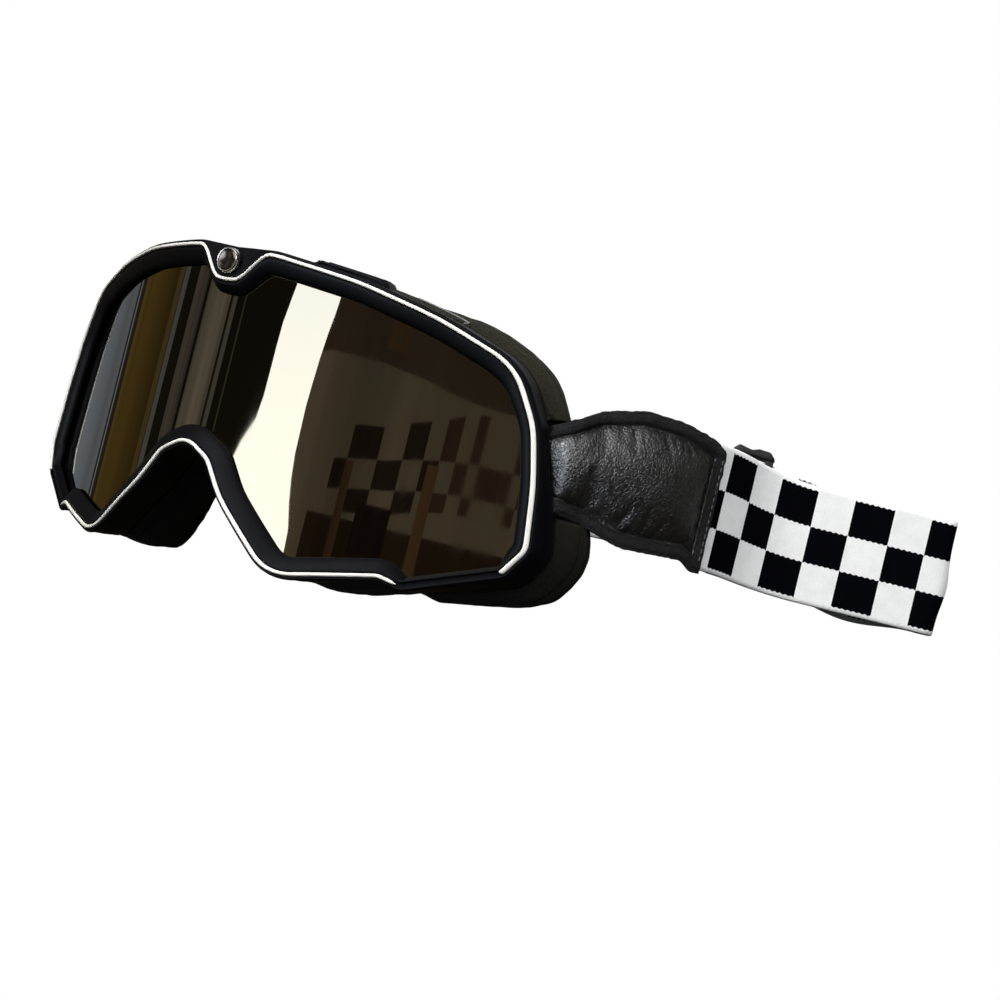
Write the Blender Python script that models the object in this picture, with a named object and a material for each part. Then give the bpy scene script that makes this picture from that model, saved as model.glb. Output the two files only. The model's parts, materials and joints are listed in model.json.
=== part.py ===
"""Retro motorcycle goggles: moulded frame, cylinder lens, foam, leather outriggers, elastic strap.

Axes: the goggles face -Y, +Z is up, +X is the wearer's left.
Lengths in this file are millimetres, from a point on the front of the rim, halfway across and
level with the middle of the lens. Every mesh is moved by BASE and scaled by MM when it is built,
which puts the origin at the bottom centre of the whole object's box.
"""
import math

import bmesh
import bpy
import numpy as np
from mathutils import Vector

MM = 0.001
BASE = (27.443, 75.957, -40.444)         # middle of the whole object's footprint, at its lowest point
GAP = 0.3                      # clearance kept between neighbouring pieces
SEAT_GAP = 0.6                 # the same between the frame's sloped rear face and the foam
FOAM_GAP = 0.9                 # the same between foam layers, whose faces are not flat

# ---- rim outline: (x, z, corner radius) down the wearer's left half, mirrored for the other half
RIM_CORNERS = [
    (0.0, 39.7, 40.0), (13.0, 40.4, 30.0), (36.0, 38.1, 60.0), (55.0, 33.8, 60.0),
    (73.0, 26.6, 16.0), (79.8, 12.5, 30.0), (82.7, -2.0, 90.0), (84.3, -18.5, 6.0),
    (80.3, -25.6, 3.0), (60.3, -34.8, 2.0), (55.5, -33.6, 3.5), (31.0, -40.0, 7.0),
    (14.2, -23.5, 30.0), (7.8, -14.4, 8.0), (0.0, -12.2, 8.0),
]
HALF_WIDTH = 84.3              # widest point of the rim
STATION_PITCH = 7.0            # longest straight run between two stations
NOTCH_PITCH = 2.2              # the same beside the notch
ARC_STEP = 13.0                # degrees turned between two stations round a corner

# ---- curvature of the front, a shallow cylinder that eases off towards the temples
BOW = 0.00754                  # y = BOW x^2 - EASE x^4
EASE = 2.59e-7

# ---- notch in the rim over the nose, where the rivet sits
NOTCH_DEPTH = 7.6
NOTCH_FLAT = 2.5
NOTCH_HALF = 12.0
INNER_DIP = 0.82               # share of the notch's drop that the lens opening follows

# ---- frame section: distances back from the front of the rim
LIP_DEPTH = 2.3
LENS_FRONT = 3.8
LENS_BACK = 4.9
LENS_PLAY = 0.4
REAR_LIP = 6.6
FRAME_DEPTH_NOSE = 14.0        # frame depth over the nose
FRAME_DEPTH_TEMPLE = 5.2       # depth of its outer wall at the temples
FRAME_DEPTH_CORNER = 2.8       # extra depth at the lower outer corners
FOAM_DEPTH_NOSE = 30.0         # overall depth over the nose
FOAM_DEPTH_TEMPLE = 19.0
CHEEK_DEPTH = 7.0              # extra depth of the foam beside the nose
BASE_FOAM = 4.4
SHELF = (-1.2, -0.6)           # where the frame's rear face levels out at nose and temple
FLANGE = (-1.4, -2.8)          # inner side of the flange that carries the foam, the same way
FLEECE = 2.4

# ---- flare: how far outside the rim each rear edge stands, at (nose, brow, upper temple, lower temple);
# the soft foam's and the fleece's are those of their rear edges
FRAME_FLARE = (0.4, 1.2, 0.9, 2.4)
BASE_FLARE = (0.6, 3.6, 2.6, 5.4)
SOFT_FLARE = (0.6, 3.6, 0.4, 5.6)
FLEECE_FLARE = (0.4, 2.6, -1.0, 5.2)

# ---- piping: a raised bead in a groove along the rim
PIPING_HALF = 0.6
PIPING_RISE = 0.55
GROOVE_DEPTH = 1.0

# ---- vents in the top wall, from the nose outwards
SCOOP_VENT = (20.0, 36.5)      # x range of the raised scoop
SLOT_VENT = (45.0, 56.5)       # x range of the plain slot
SCOOP_RISE = 1.3
VENT_START = 8.3
VENT_WIDTH = 2.6

# ---- rivet in the notch
RIVET_Z = 37.0
RIVET_RADIUS = 3.2
RIVET_POST = 1.1
RIVET_POST_LENGTH = 5.0

# ---- outriggers
HINGE_X = 82.0
HINGE_Y = 50.2
HINGE_LOW = -9.5
HINGE_HIGH = 11.0
WIRE = 0.7                     # radius of the hinge wire
WIRE_INSET = 1.5               # how far inside the rim line its ends enter the frame
WIRE_LEG = 2.9                 # straight run of each end out of the frame
WIRE_BEND = 0.9                # how far the upright stops short of its ends' heights
WIRE_END = 6.2                 # how far behind the front of the rim they stop
HEM_CLEARANCE = 0.35
LEATHER = 1.0                  # thickness of one leather layer
TOP_FACE = 0.25                # how far out of the centre line the outer leather's inside lies
PAD_CROWN = 2.4                # how far the padding pushes the outer leather out
PAD_INSET = 4.0                # distance from the leather's edges to the pad's
PAD_EDGE = 0.35                # thickness of the pad at its edges
REACH = (21.5, 43.3)           # from each outrigger's hinge to its strap seam, in plan
NECK_RELIEF_X = 77.3           # foam stays inside this beside the leather neck
LEATHER_TOP = [(0.0, 17.4), (0.1, 21.0), (0.2, 23.4), (0.4, 25.2), (0.62, 25.0), (0.84, 23.4), (1.0, 18.8)]
LEATHER_BOTTOM = [(0.0, -7.0), (0.17, -8.3), (0.40, -11.5), (0.80, -10.4), (0.92, -12.8), (1.0, -12.6)]

# ---- elastic strap
STRAP_LOW = -13.2
STRAP_HIGH = 18.8
STRAP_HALF = 0.8
FRONT_LEG = 12.0               # straight run as the strap leaves the leather
FRONT_BEND = (20.0, -44.0)     # length and turn of the bend after it
FRONT_RUN = 37.4
FOLD_RADIUS = 3.0
FOLD_TURN = 175.0
RETURN_RUN = 74.0              # straight run after the fold, where the slider travels
RETURN_RISE = 0.066            # how steeply that run climbs
SLIDER_AT = 54.6               # slider's place along that run
SLIDER_HALF = 5.8
SLIDER_BAR = 2.2
SLIDER_PLATE = 1.0             # thickness of the outer bars
SLIDER_RAIL = 2.6
SLIDER_CLEARANCE = 0.6         # between the rails and the strap's edges
HEM_LENGTH = 22.0              # sewn end of the elastic, from the middle bar back along the strap
HEM_TUCK = 5.0                 # the turned-over part behind the bar
HEM_HALF = 0.5


def blend_step(value, low, high):
    """0 below low, 1 above high, smooth between."""
    t = min(max((value - low) / (high - low), 0.0), 1.0)
    return t * t * (3.0 - 2.0 * t)


def front_depth(x):
    """How far back the rim lies at a distance x from the middle."""
    return BOW * x * x - EASE * x ** 4


def nose_to_temple(x, at_nose, at_temple):
    return at_nose + (at_temple - at_nose) * min(abs(x) / HALF_WIDTH, 1.0) ** 2


def notch_dip(x, share=1.0):
    """How far the rim line drops near the rivet."""
    return share * NOTCH_DEPTH * (1.0 - blend_step(abs(x), NOTCH_FLAT, NOTCH_HALF))


def corner_points(before, corner, after):
    """Round one corner of the outline with a quadratic arc."""
    point = Vector(corner[:2])
    to_before = Vector(before[:2]) - point
    to_after = Vector(after[:2]) - point
    angle = to_before.angle(to_after, math.pi)
    if angle > math.pi - 0.01:
        return [point]
    run = corner[2] / math.tan(angle / 2)
    run = min(run, 0.46 * to_before.length, 0.46 * to_after.length)
    start = point + to_before.normalized() * run
    end = point + to_after.normalized() * run
    count = max(1, round(math.degrees(math.pi - angle) / ARC_STEP))
    points = []
    for k in range(count + 1):
        t = k / count
        points.append(start * (1 - t) ** 2 + point * (2 * t * (1 - t)) + end * t * t)
    return points


def half_outline():
    """Stations down the wearer's left half, from the middle of the brow to the nose."""
    corners = RIM_CORNERS
    mirror_first = (-corners[1][0], corners[1][1], 0)
    mirror_last = (-corners[-2][0], corners[-2][1], 0)
    chain = [mirror_first] + corners + [mirror_last]
    rounded = []
    for before, corner, after in zip(chain, chain[1:], chain[2:]):
        rounded += [p for p in corner_points(before, corner, after) if p.x > 0.2]
    rounded = [Vector((0.0, corners[0][1]))] + rounded + [Vector((0.0, corners[-1][1] + 0.9))]
    stations = [rounded[0]]
    for point in rounded[1:]:
        last = stations[-1]
        in_notch = point.y > 0 and last.x < NOTCH_HALF + 2
        pitch = NOTCH_PITCH if in_notch else STATION_PITCH
        pieces = max(1, math.ceil((point - last).length / pitch))
        stations += [last.lerp(point, k / pieces) for k in range(1, pieces + 1)]
    return stations


def full_outline():
    """Closed outline, clockwise seen from the front, with an outward normal at each station."""
    right = half_outline()
    left = [Vector((-p.x, p.y)) for p in reversed(right[1:-1])]
    points = right + left
    normals = []
    for i, point in enumerate(points):
        before = points[i - 1]
        after = points[(i + 1) % len(points)]
        tangent = (point - before).normalized() + (after - point).normalized()
        normals.append(Vector((-tangent.y, tangent.x)).normalized())
    return points, normals


OUTLINE, NORMALS = full_outline()


def lip_width(x, z):
    """Width of the front lip between the rim line and the lens opening."""
    width = 4.8 - 0.8 * blend_step(abs(x), 70.0, 80.0)
    corner = blend_step(abs(x), 54.0, 61.0) * blend_step(-z, 20.0, 26.0)
    return width - corner * (width - 2.4)


def flare_at(flare, x, z):
    """Flare at a place on the outline, blended from its values at the nose, brow and temples."""
    nose, brow, upper, lower = flare
    middle = nose + (brow - nose) * blend_step(z, -4.0, 8.0)
    side = lower + (upper - lower) * blend_step(z, -14.0, 10.0)
    return middle + (side - middle) * blend_step(abs(x), 56.0, 80.0)


def foam_back(x, z):
    """Depth of the face side of the foam."""
    cheek = blend_step(-z, 16.0, 36.0) * (1.0 - blend_step(abs(x), 36.0, 62.0))
    return nose_to_temple(x, FOAM_DEPTH_NOSE, FOAM_DEPTH_TEMPLE) + CHEEK_DEPTH * cheek


def frame_back(x, z):
    """Depth of the frame's outer wall."""
    corner = blend_step(abs(x), 50.0, 76.0) * blend_step(-z, -2.0, 18.0)
    return nose_to_temple(x, FRAME_DEPTH_NOSE, FRAME_DEPTH_TEMPLE) + FRAME_DEPTH_CORNER * corner


def at_temple(pair, x):
    """A value given as (nose, temple), blended close to the temple."""
    return pair[0] + (pair[1] - pair[0]) * blend_step(abs(x), 66.0, 76.0)


def frame_inner_back(x, z):
    """Depth of the flange that carries the foam; it covers the lens seat and the hinge wires' ends."""
    return max(frame_back(x, z), REAR_LIP + at_temple((1.1, 2.0), x))


def rim_x(z):
    """How far out the rim line is at a height on the temple."""
    side = [p for p in half_outline() if p.x > 70.0 and -22.0 < p.y < 28.0]
    side.sort(key=lambda p: p.y)
    return float(np.interp(z, [p.y for p in side], [p.x for p in side]))


def neck_relief(z):
    """1 at the heights where the leather neck passes the foam, 0 above and below."""
    return 1.0 - blend_step(abs(z - 0.5 * (HINGE_LOW + HINGE_HIGH)), 14.5, 19.0)


def ring_point(index, offset, depth, dip=0.0, relief=False):
    """A point at an offset outside the rim line and a depth behind the front."""
    station = OUTLINE[index]
    normal = NORMALS[index]
    x = station.x + normal.x * offset
    z = station.y + normal.y * offset
    if dip and station.y > 0:
        z -= notch_dip(x, dip)
    if relief:
        limit = HALF_WIDTH + 8.0 + (NECK_RELIEF_X - HALF_WIDTH - 8.0) * neck_relief(z)
        x = math.copysign(min(abs(x), limit), x)
    return Vector((x, front_depth(x) + depth, z))


# ---------------------------------------------------------------- mesh helpers

def material(name, color, roughness, metallic=0.0, alpha=1.0):
    made = bpy.data.materials.new(name)
    made.use_nodes = True
    shader = made.node_tree.nodes["Principled BSDF"]
    shader.inputs["Base Color"].default_value = (*color, 1.0)
    shader.inputs["Roughness"].default_value = roughness
    shader.inputs["Metallic"].default_value = metallic
    shader.inputs["Alpha"].default_value = alpha
    made.diffuse_color = (*color, alpha)
    return made


def mesh_object(name, points, faces, finish, parent=None, smooth_angle=40.0):
    """Build one closed body from millimetre points; its faces are turned to point out."""
    mesh = bpy.data.meshes.new(name)
    shape = bmesh.new()
    verts = [shape.verts.new((Vector(p) - Vector(BASE)) * MM) for p in points]
    for face in faces:
        shape.faces.new([verts[i] for i in face])
    bmesh.ops.recalc_face_normals(shape, faces=shape.faces)
    shape.to_mesh(mesh)
    shape.free()
    mesh.materials.append(finish)
    mesh.shade_smooth()
    mesh.set_sharp_from_angle(angle=math.radians(smooth_angle))
    item = bpy.data.objects.new(name, mesh)
    bpy.context.collection.objects.link(item)
    if parent is not None:
        item.parent = parent
        item.matrix_parent_inverse = parent.matrix_world.inverted()
    return item


def loft(rows, ring, closed):
    """Faces between rows of points: each row is a closed section of `ring` points."""
    faces = []
    count = len(rows)
    for i in range(count if closed else count - 1):
        j = (i + 1) % count
        for k in range(ring):
            m = (k + 1) % ring
            faces.append((i * ring + k, i * ring + m, j * ring + m, j * ring + k))
    if not closed:
        faces.append(tuple(range(ring)))
        faces.append(tuple((count - 1) * ring + k for k in reversed(range(ring))))
    return faces


def section_sweep(name, rows, finish, closed=True, parent=None, smooth_angle=40.0):
    ring = len(rows[0])
    points = [p for row in rows for p in row]
    return mesh_object(name, points, loft(rows, ring, closed), finish, parent, smooth_angle)


def tube(name, path, radius, finish, parent=None, sides=12):
    """A round bar along a path of points, with flat ends."""
    rows = []
    up = Vector((1.0, 0.0, 0.0))
    for i, point in enumerate(path):
        before = path[max(i - 1, 0)]
        after = path[min(i + 1, len(path) - 1)]
        along = (Vector(after) - Vector(before)).normalized()
        side = up.cross(along)
        side = side.normalized() if side.length > 0.01 else Vector((0.0, 1.0, 0.0))
        other = along.cross(side).normalized()
        turns = [2 * math.pi * k / sides for k in range(sides)]
        rows.append([Vector(point) + side * (radius * math.cos(t)) + other * (radius * math.sin(t))
                     for t in turns])
    return section_sweep(name, rows, finish, closed=False, parent=parent)


def cutter(item):
    item.hide_render = True
    item.display_type = 'WIRE'
    return item


def cut_from(target, tool):
    """Subtract a cutter from a piece."""
    change = target.modifiers.new("cut_" + tool.name, 'BOOLEAN')
    change.operation = 'DIFFERENCE'
    change.solver = 'EXACT'
    change.object = tool


# ---------------------------------------------------------------- frame, lens, piping, foam

def scoop_height(x):
    """Extra height of the top wall along the scoop vents."""
    low, high = SCOOP_VENT
    return SCOOP_RISE * blend_step(abs(x), low - 2.5, low) * (1 - blend_step(abs(x), high, high + 2.5))


def frame_section(index):
    station = OUTLINE[index]
    x, z = station.x, station.y
    lip = lip_width(x, z)
    flare = flare_at(FRAME_FLARE, x, z)
    back = frame_back(x, z)
    scoop = scoop_height(x) if z > 0 else 0.0
    groove = PIPING_HALF + GAP
    return [
        ring_point(index, -lip, LIP_DEPTH, INNER_DIP),
        ring_point(index, -groove - 0.7, 0.2, 1.0),
        ring_point(index, -groove, 0.1, 1.0),
        ring_point(index, -groove, GROOVE_DEPTH, 1.0),
        ring_point(index, groove, GROOVE_DEPTH, 1.0),
        ring_point(index, groove, 0.1, 1.0),
        ring_point(index, 1.2, 0.7),
        ring_point(index, 0.8 + 0.4 * flare, 2.4),
        ring_point(index, 0.6 + 0.5 * flare, 0.55 * back),
        ring_point(index, 0.4 + 0.6 * flare + scoop, 0.62 * back),
        ring_point(index, flare + scoop, back),
        ring_point(index, at_temple(SHELF, x), frame_inner_back(x, z)),
        ring_point(index, at_temple(FLANGE, x), REAR_LIP + 0.6),
        ring_point(index, -lip + 0.5, REAR_LIP, INNER_DIP),
        ring_point(index, -lip + 0.5, LENS_BACK + LENS_PLAY, INNER_DIP),
        ring_point(index, -0.45 * lip, LENS_BACK + LENS_PLAY, INNER_DIP),
        ring_point(index, -0.45 * lip, LENS_FRONT - LENS_PLAY, INNER_DIP),
        ring_point(index, -lip, LENS_FRONT - LENS_PLAY, INNER_DIP),
    ]


def wall_box(name, x_range, depths, offsets, side, finish):
    """A curved block that follows the top wall between two x values."""
    low, high = x_range
    count = 6
    top = [(p.x, p.y) for p in half_outline() if p.y > 20.0]
    rows = []
    for k in range(count + 1):
        x = low + (high - low) * k / count
        z = float(np.interp(x, [t[0] for t in top], [t[1] for t in top]))
        y = front_depth(x)
        inner, outer = offsets
        front, back = depths
        rows.append([Vector((side * x, y + front, z + inner)), Vector((side * x, y + front, z + outer)),
                     Vector((side * x, y + back, z + outer)), Vector((side * x, y + back, z + inner))])
    return section_sweep(name, rows, finish, closed=False, smooth_angle=30.0)


def wire_end(side, z):
    """Where one end of a hinge wire stops inside the frame."""
    x = rim_x(z) - WIRE_INSET
    return Vector((side * x, front_depth(x) + WIRE_END, z))


def build_frame(rubber):
    rows = [frame_section(i) for i in range(len(OUTLINE))]
    frame = section_sweep("frame", rows, rubber)
    for side, word in ((1, "left"), (-1, "right")):
        for kind, x_range in (("scoop", SCOOP_VENT), ("slot", SLOT_VENT)):
            start = VENT_START - (1.4 if kind == "slot" else 0.6)
            tool = wall_box(f"{kind}_cutter_{word}", x_range, (start, start + VENT_WIDTH),
                            (-3.0, 8.0), side, rubber)
            cut_from(frame, cutter(tool))
        for z in (HINGE_LOW, HINGE_HIGH):
            end = wire_end(side, z)
            path = [end - Vector((0.0, GAP, 0.0)), end + Vector((0.0, 6.0, 0.0))]
            tool = tube(f"leg_cutter_{word}_{z:.0f}", path, WIRE + GAP, rubber, sides=12)
            cut_from(frame, cutter(tool))
    post = [Vector((0.0, -2.0, RIVET_Z)), Vector((0.0, RIVET_POST_LENGTH + 1.6, RIVET_Z))]
    cut_from(frame, cutter(tube("post_cutter", post, RIVET_POST + GAP, rubber)))
    return frame


def piping_section(index):
    half = PIPING_HALF
    rise = -PIPING_RISE
    foot = GROOVE_DEPTH - GAP
    shape = [(-half, foot), (-half, rise * 0.3), (-half * 0.6, rise * 0.85), (0.0, rise),
             (half * 0.6, rise * 0.85), (half, rise * 0.3), (half, foot)]
    return [ring_point(index, o, d, 1.0) for o, d in shape]


def build_piping(bead):
    """Two separate beads: one over the brow and down both sides, one under the lens and nose."""
    end_high = min(range(len(OUTLINE)), key=lambda i: (OUTLINE[i] - Vector((80.3, -26.0))).length)
    end_low = min(range(len(OUTLINE)), key=lambda i: (OUTLINE[i] - Vector((59.5, -34.6))).length)
    count = len(OUTLINE)
    over = [i % count for i in range(count - end_high, count + end_high + 1)]
    under = list(range(end_low, count - end_low + 1))
    section_sweep("upper_piping", [piping_section(i) for i in over], bead, closed=False)
    section_sweep("lower_piping", [piping_section(i) for i in under], bead, closed=False)


def build_lens(glass):
    """One curved sheet: columns join each station on the brow with the lower edge at the same x."""
    edge = []
    for i, station in enumerate(OUTLINE):
        point = ring_point(i, -0.45 * lip_width(station.x, station.y) - 0.35, 0.0, INNER_DIP)
        edge.append((point.x, point.z))
    half = edge[:len(half_outline())]
    tip = max(range(len(half)), key=lambda i: half[i][0])
    brow = half[:tip + 1]
    under = list(reversed(half[tip:]))
    stops = sorted({round(x, 4) for x, _ in brow + under if x < half[tip][0] - 0.25})
    stops = [s for k, s in enumerate(stops) if k == 0 or s - stops[k - 1] > 0.35]
    stops.append(half[tip][0] - 0.2)
    columns = [-s for s in reversed(stops[1:])] + stops
    rows = []
    for x in columns:
        top = float(np.interp(abs(x), [p[0] for p in brow], [p[1] for p in brow]))
        bottom = float(np.interp(abs(x), [p[0] for p in under], [p[1] for p in under]))
        y = front_depth(x)
        rows.append([Vector((x, y + LENS_FRONT, bottom)), Vector((x, y + LENS_FRONT, top)),
                     Vector((x, y + LENS_BACK, top)), Vector((x, y + LENS_BACK, bottom))])
    section_sweep("lens", rows, glass, closed=False, smooth_angle=30.0)


def foam_ring(name, front, back, flares, finish):
    """A foam layer; front and back are depths at its (inner, outer) edge, flares its outer offsets."""
    rows = []
    for i, station in enumerate(OUTLINE):
        x, z = station.x, station.y
        inner = -4.6 - 1.9 * blend_step(abs(x), 66.0, 80.0)
        shelf = []
        if front[0] is not front[1]:
            shelf.append(ring_point(i, at_temple(SHELF, x), front[0](x, z), relief=True))
        rows.append([
            ring_point(i, inner, front[0](x, z), relief=True),
            *shelf,
            ring_point(i, flare_at(flares[0], x, z), front[1](x, z), relief=True),
            ring_point(i, flare_at(flares[1], x, z), back(x, z), relief=True),
            ring_point(i, inner, back(x, z), relief=True),
        ])
    section_sweep(name, rows, finish, smooth_angle=60.0)


def build_foam(foam, fleece):
    def base_inner(x, z):
        return frame_inner_back(x, z) + SEAT_GAP

    def base_outer(x, z):
        tucked = neck_relief(z) * blend_step(abs(x), 60.0, 70.0)
        back = frame_back(x, z)
        return back + SEAT_GAP + tucked * (frame_inner_back(x, z) - back)

    def base_end(x, z):
        return frame_inner_back(x, z) + BASE_FOAM

    def soft_start(x, z):
        return base_end(x, z) + FOAM_GAP

    def soft_end(x, z):
        return foam_back(x, z) - FLEECE - FOAM_GAP

    def fleece_start(x, z):
        return foam_back(x, z) - FLEECE

    foam_ring("face_foam_base", (base_inner, base_outer), base_end, (FRAME_FLARE, BASE_FLARE), foam)
    foam_ring("face_foam_soft", (soft_start, soft_start), soft_end, (BASE_FLARE, SOFT_FLARE), foam)
    foam_ring("face_fleece", (fleece_start, fleece_start), foam_back, (SOFT_FLARE, FLEECE_FLARE), fleece)


def build_vent_foam(foam):
    for side, word in ((1, "left"), (-1, "right")):
        wall_box(f"top_vent_foam_{word}", (SCOOP_VENT[0] - 1.5, SLOT_VENT[1] + 1.0),
                 (REAR_LIP + 1.2, REAR_LIP + 3.4), (-4.2, -2.0), side, foam)


# ---------------------------------------------------------------- rivet

def turned(name, profile, centre, finish, sides=20):
    """A round piece whose axis runs along Y; profile is (radius, y), first and last on the axis."""
    points = [Vector((centre[0], centre[1] + profile[0][1], centre[2]))]
    for radius, y in profile[1:-1]:
        for k in range(sides):
            t = 2 * math.pi * k / sides
            points.append(Vector((centre[0] + radius * math.cos(t), centre[1] + y,
                                  centre[2] + radius * math.sin(t))))
    points.append(Vector((centre[0], centre[1] + profile[-1][1], centre[2])))
    last = len(points) - 1
    faces = []
    rings = len(profile) - 2
    for k in range(sides):
        m = (k + 1) % sides
        faces.append((0, 1 + k, 1 + m))
        for r in range(rings - 1):
            a = 1 + r * sides
            faces.append((a + k, a + sides + k, a + sides + m, a + m))
        faces.append((1 + (rings - 1) * sides + m, 1 + (rings - 1) * sides + k, last))
    return mesh_object(name, points, faces, finish)


def build_rivet(steel):
    """A domed cap over a collar, on a post that enters the frame."""
    radius = RIVET_RADIUS
    front = -GAP
    cap = [(0.0, -1.7), (0.9, -1.62), (1.7, -1.4), (2.3, -1.05), (2.5, -0.7), (2.5, -0.35), (0.0, -0.35)]
    turned("rivet_cap", cap, (0.0, front - 0.5, RIVET_Z), steel)
    collar = [(0.0, -0.5), (radius - 0.4, -0.5), (radius, -0.15), (radius, 0.1), (0.0, 0.1)]
    turned("rivet_collar", collar, (0.0, front, RIVET_Z), steel)
    post = [(0.0, 0.4), (RIVET_POST, 0.4), (RIVET_POST, RIVET_POST_LENGTH), (0.0, RIVET_POST_LENGTH)]
    turned("rivet_post", post, (0.0, front, RIVET_Z), steel, sides=12)


# ---------------------------------------------------------------- plan paths

def bezier(start, first, second, end, count):
    points = []
    for k in range(count + 1):
        t = k / count
        s = 1.0 - t
        points.append(start * s ** 3 + first * (3 * s * s * t) + second * (3 * s * t * t) + end * t ** 3)
    return points


def heading(degrees):
    return Vector((math.cos(math.radians(degrees)), math.sin(math.radians(degrees))))


def outrigger_path(side):
    """Centre line of one outrigger, from its hinge to its strap seam, in plan."""
    start = Vector((side * HINGE_X, HINGE_Y))
    end = start + Vector(REACH)
    if side > 0:
        return bezier(start, start + heading(52.0) * 16.0, end - heading(84.0) * 14.0, end, 14)
    return bezier(start, start + heading(96.0) * 26.0, end - heading(40.0) * 16.0, end, 14)


def arc_run(points, degrees, length, turn, pieces):
    """Carry a path on from its last point along an arc; returns the new heading."""
    step = length / pieces
    for _ in range(pieces):
        degrees += 0.5 * turn / pieces
        points.append(points[-1] + heading(degrees) * step)
        degrees += 0.5 * turn / pieces
    return degrees


def strap_path():
    """The whole elastic: out from the left seam, round the fold, back behind to the right seam.

    Gives the plan points, how far each one is raised, where the fold ends and the heading after it.
    """
    seam = Vector((HINGE_X, HINGE_Y)) + Vector(REACH)
    points = [seam + heading(84.0) * 1.6]
    turn = arc_run(points, 84.0, FRONT_LEG, 0.0, 3)
    turn = arc_run(points, turn, FRONT_BEND[0], FRONT_BEND[1], 9)
    turn = arc_run(points, turn, FRONT_RUN, 0.0, 4)
    turn = arc_run(points, turn, math.radians(FOLD_TURN) * FOLD_RADIUS, FOLD_TURN, 9)
    fold_end = points[-1]
    rises = [0.0] * len(points)
    turn = arc_run(points, turn, RETURN_RUN, 0.0, 6)
    rises += [RETURN_RISE * RETURN_RUN * k / 6 for k in range(1, 7)]
    finish = Vector((-HINGE_X, HINGE_Y)) + Vector(REACH) + heading(40.0) * 1.6
    start = points[-1]
    back = bezier(start, start + heading(turn) * 42.0, finish + heading(40.0) * 34.0, finish, 22)
    points += back[1:]
    rises += [rises[-1] * (1.0 - blend_step(k, -4, 22)) / (1.0 - blend_step(0, -4, 22))
              for k in range(1, 23)]
    return points, rises, fold_end, turn


def plan_normals(path):
    normals = []
    for i in range(len(path)):
        along = path[min(i + 1, len(path) - 1)] - path[max(i - 1, 0)]
        normals.append(Vector((-along.y, along.x)).normalized())
    return normals


def at(point, normal, offset, z):
    return Vector((point.x + normal.x * offset, point.y + normal.y * offset, z))


def sheet(name, path, low, high, near, far, finish, parent, columns=1):
    """A sheet that follows a plan path; near and far give its two faces' offsets at (along, across)."""
    normals = plan_normals(path)
    rows = []
    total = len(path) - 1
    for i, point in enumerate(path):
        u = i / total
        bottom, top = low(u), high(u)
        row = []
        for k in range(columns + 1):
            v = k / columns
            row.append(at(point, normals[i], near(u, v), bottom + (top - bottom) * v))
        for k in reversed(range(columns + 1)):
            v = k / columns
            row.append(at(point, normals[i], far(u, v), bottom + (top - bottom) * v))
        rows.append(row)
    return panel_body(name, rows, columns, finish, parent)


def panel_body(name, rows, columns, finish, parent):
    """Closed body from rows that go up one face and down the other; ends are ruled with quads."""
    ring = 2 * (columns + 1)
    points = [p for row in rows for p in row]
    faces = loft(rows, ring, True)[:-ring]
    for base in (0, (len(rows) - 1) * ring):
        for k in range(columns):
            faces.append((base + k, base + k + 1, base + ring - 2 - k, base + ring - 1 - k))
    return mesh_object(name, points, faces, finish, parent)


def outline_value(table, u):
    return float(np.interp(u, [t[0] for t in table], [t[1] for t in table]))


# ---------------------------------------------------------------- outriggers and strap

def empty_at(name, point):
    item = bpy.data.objects.new(name, None)
    item.location = (Vector((point.x, point.y, 0.0)) - Vector(BASE)) * MM
    bpy.context.collection.objects.link(item)
    bpy.context.view_layer.update()
    return item


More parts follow.
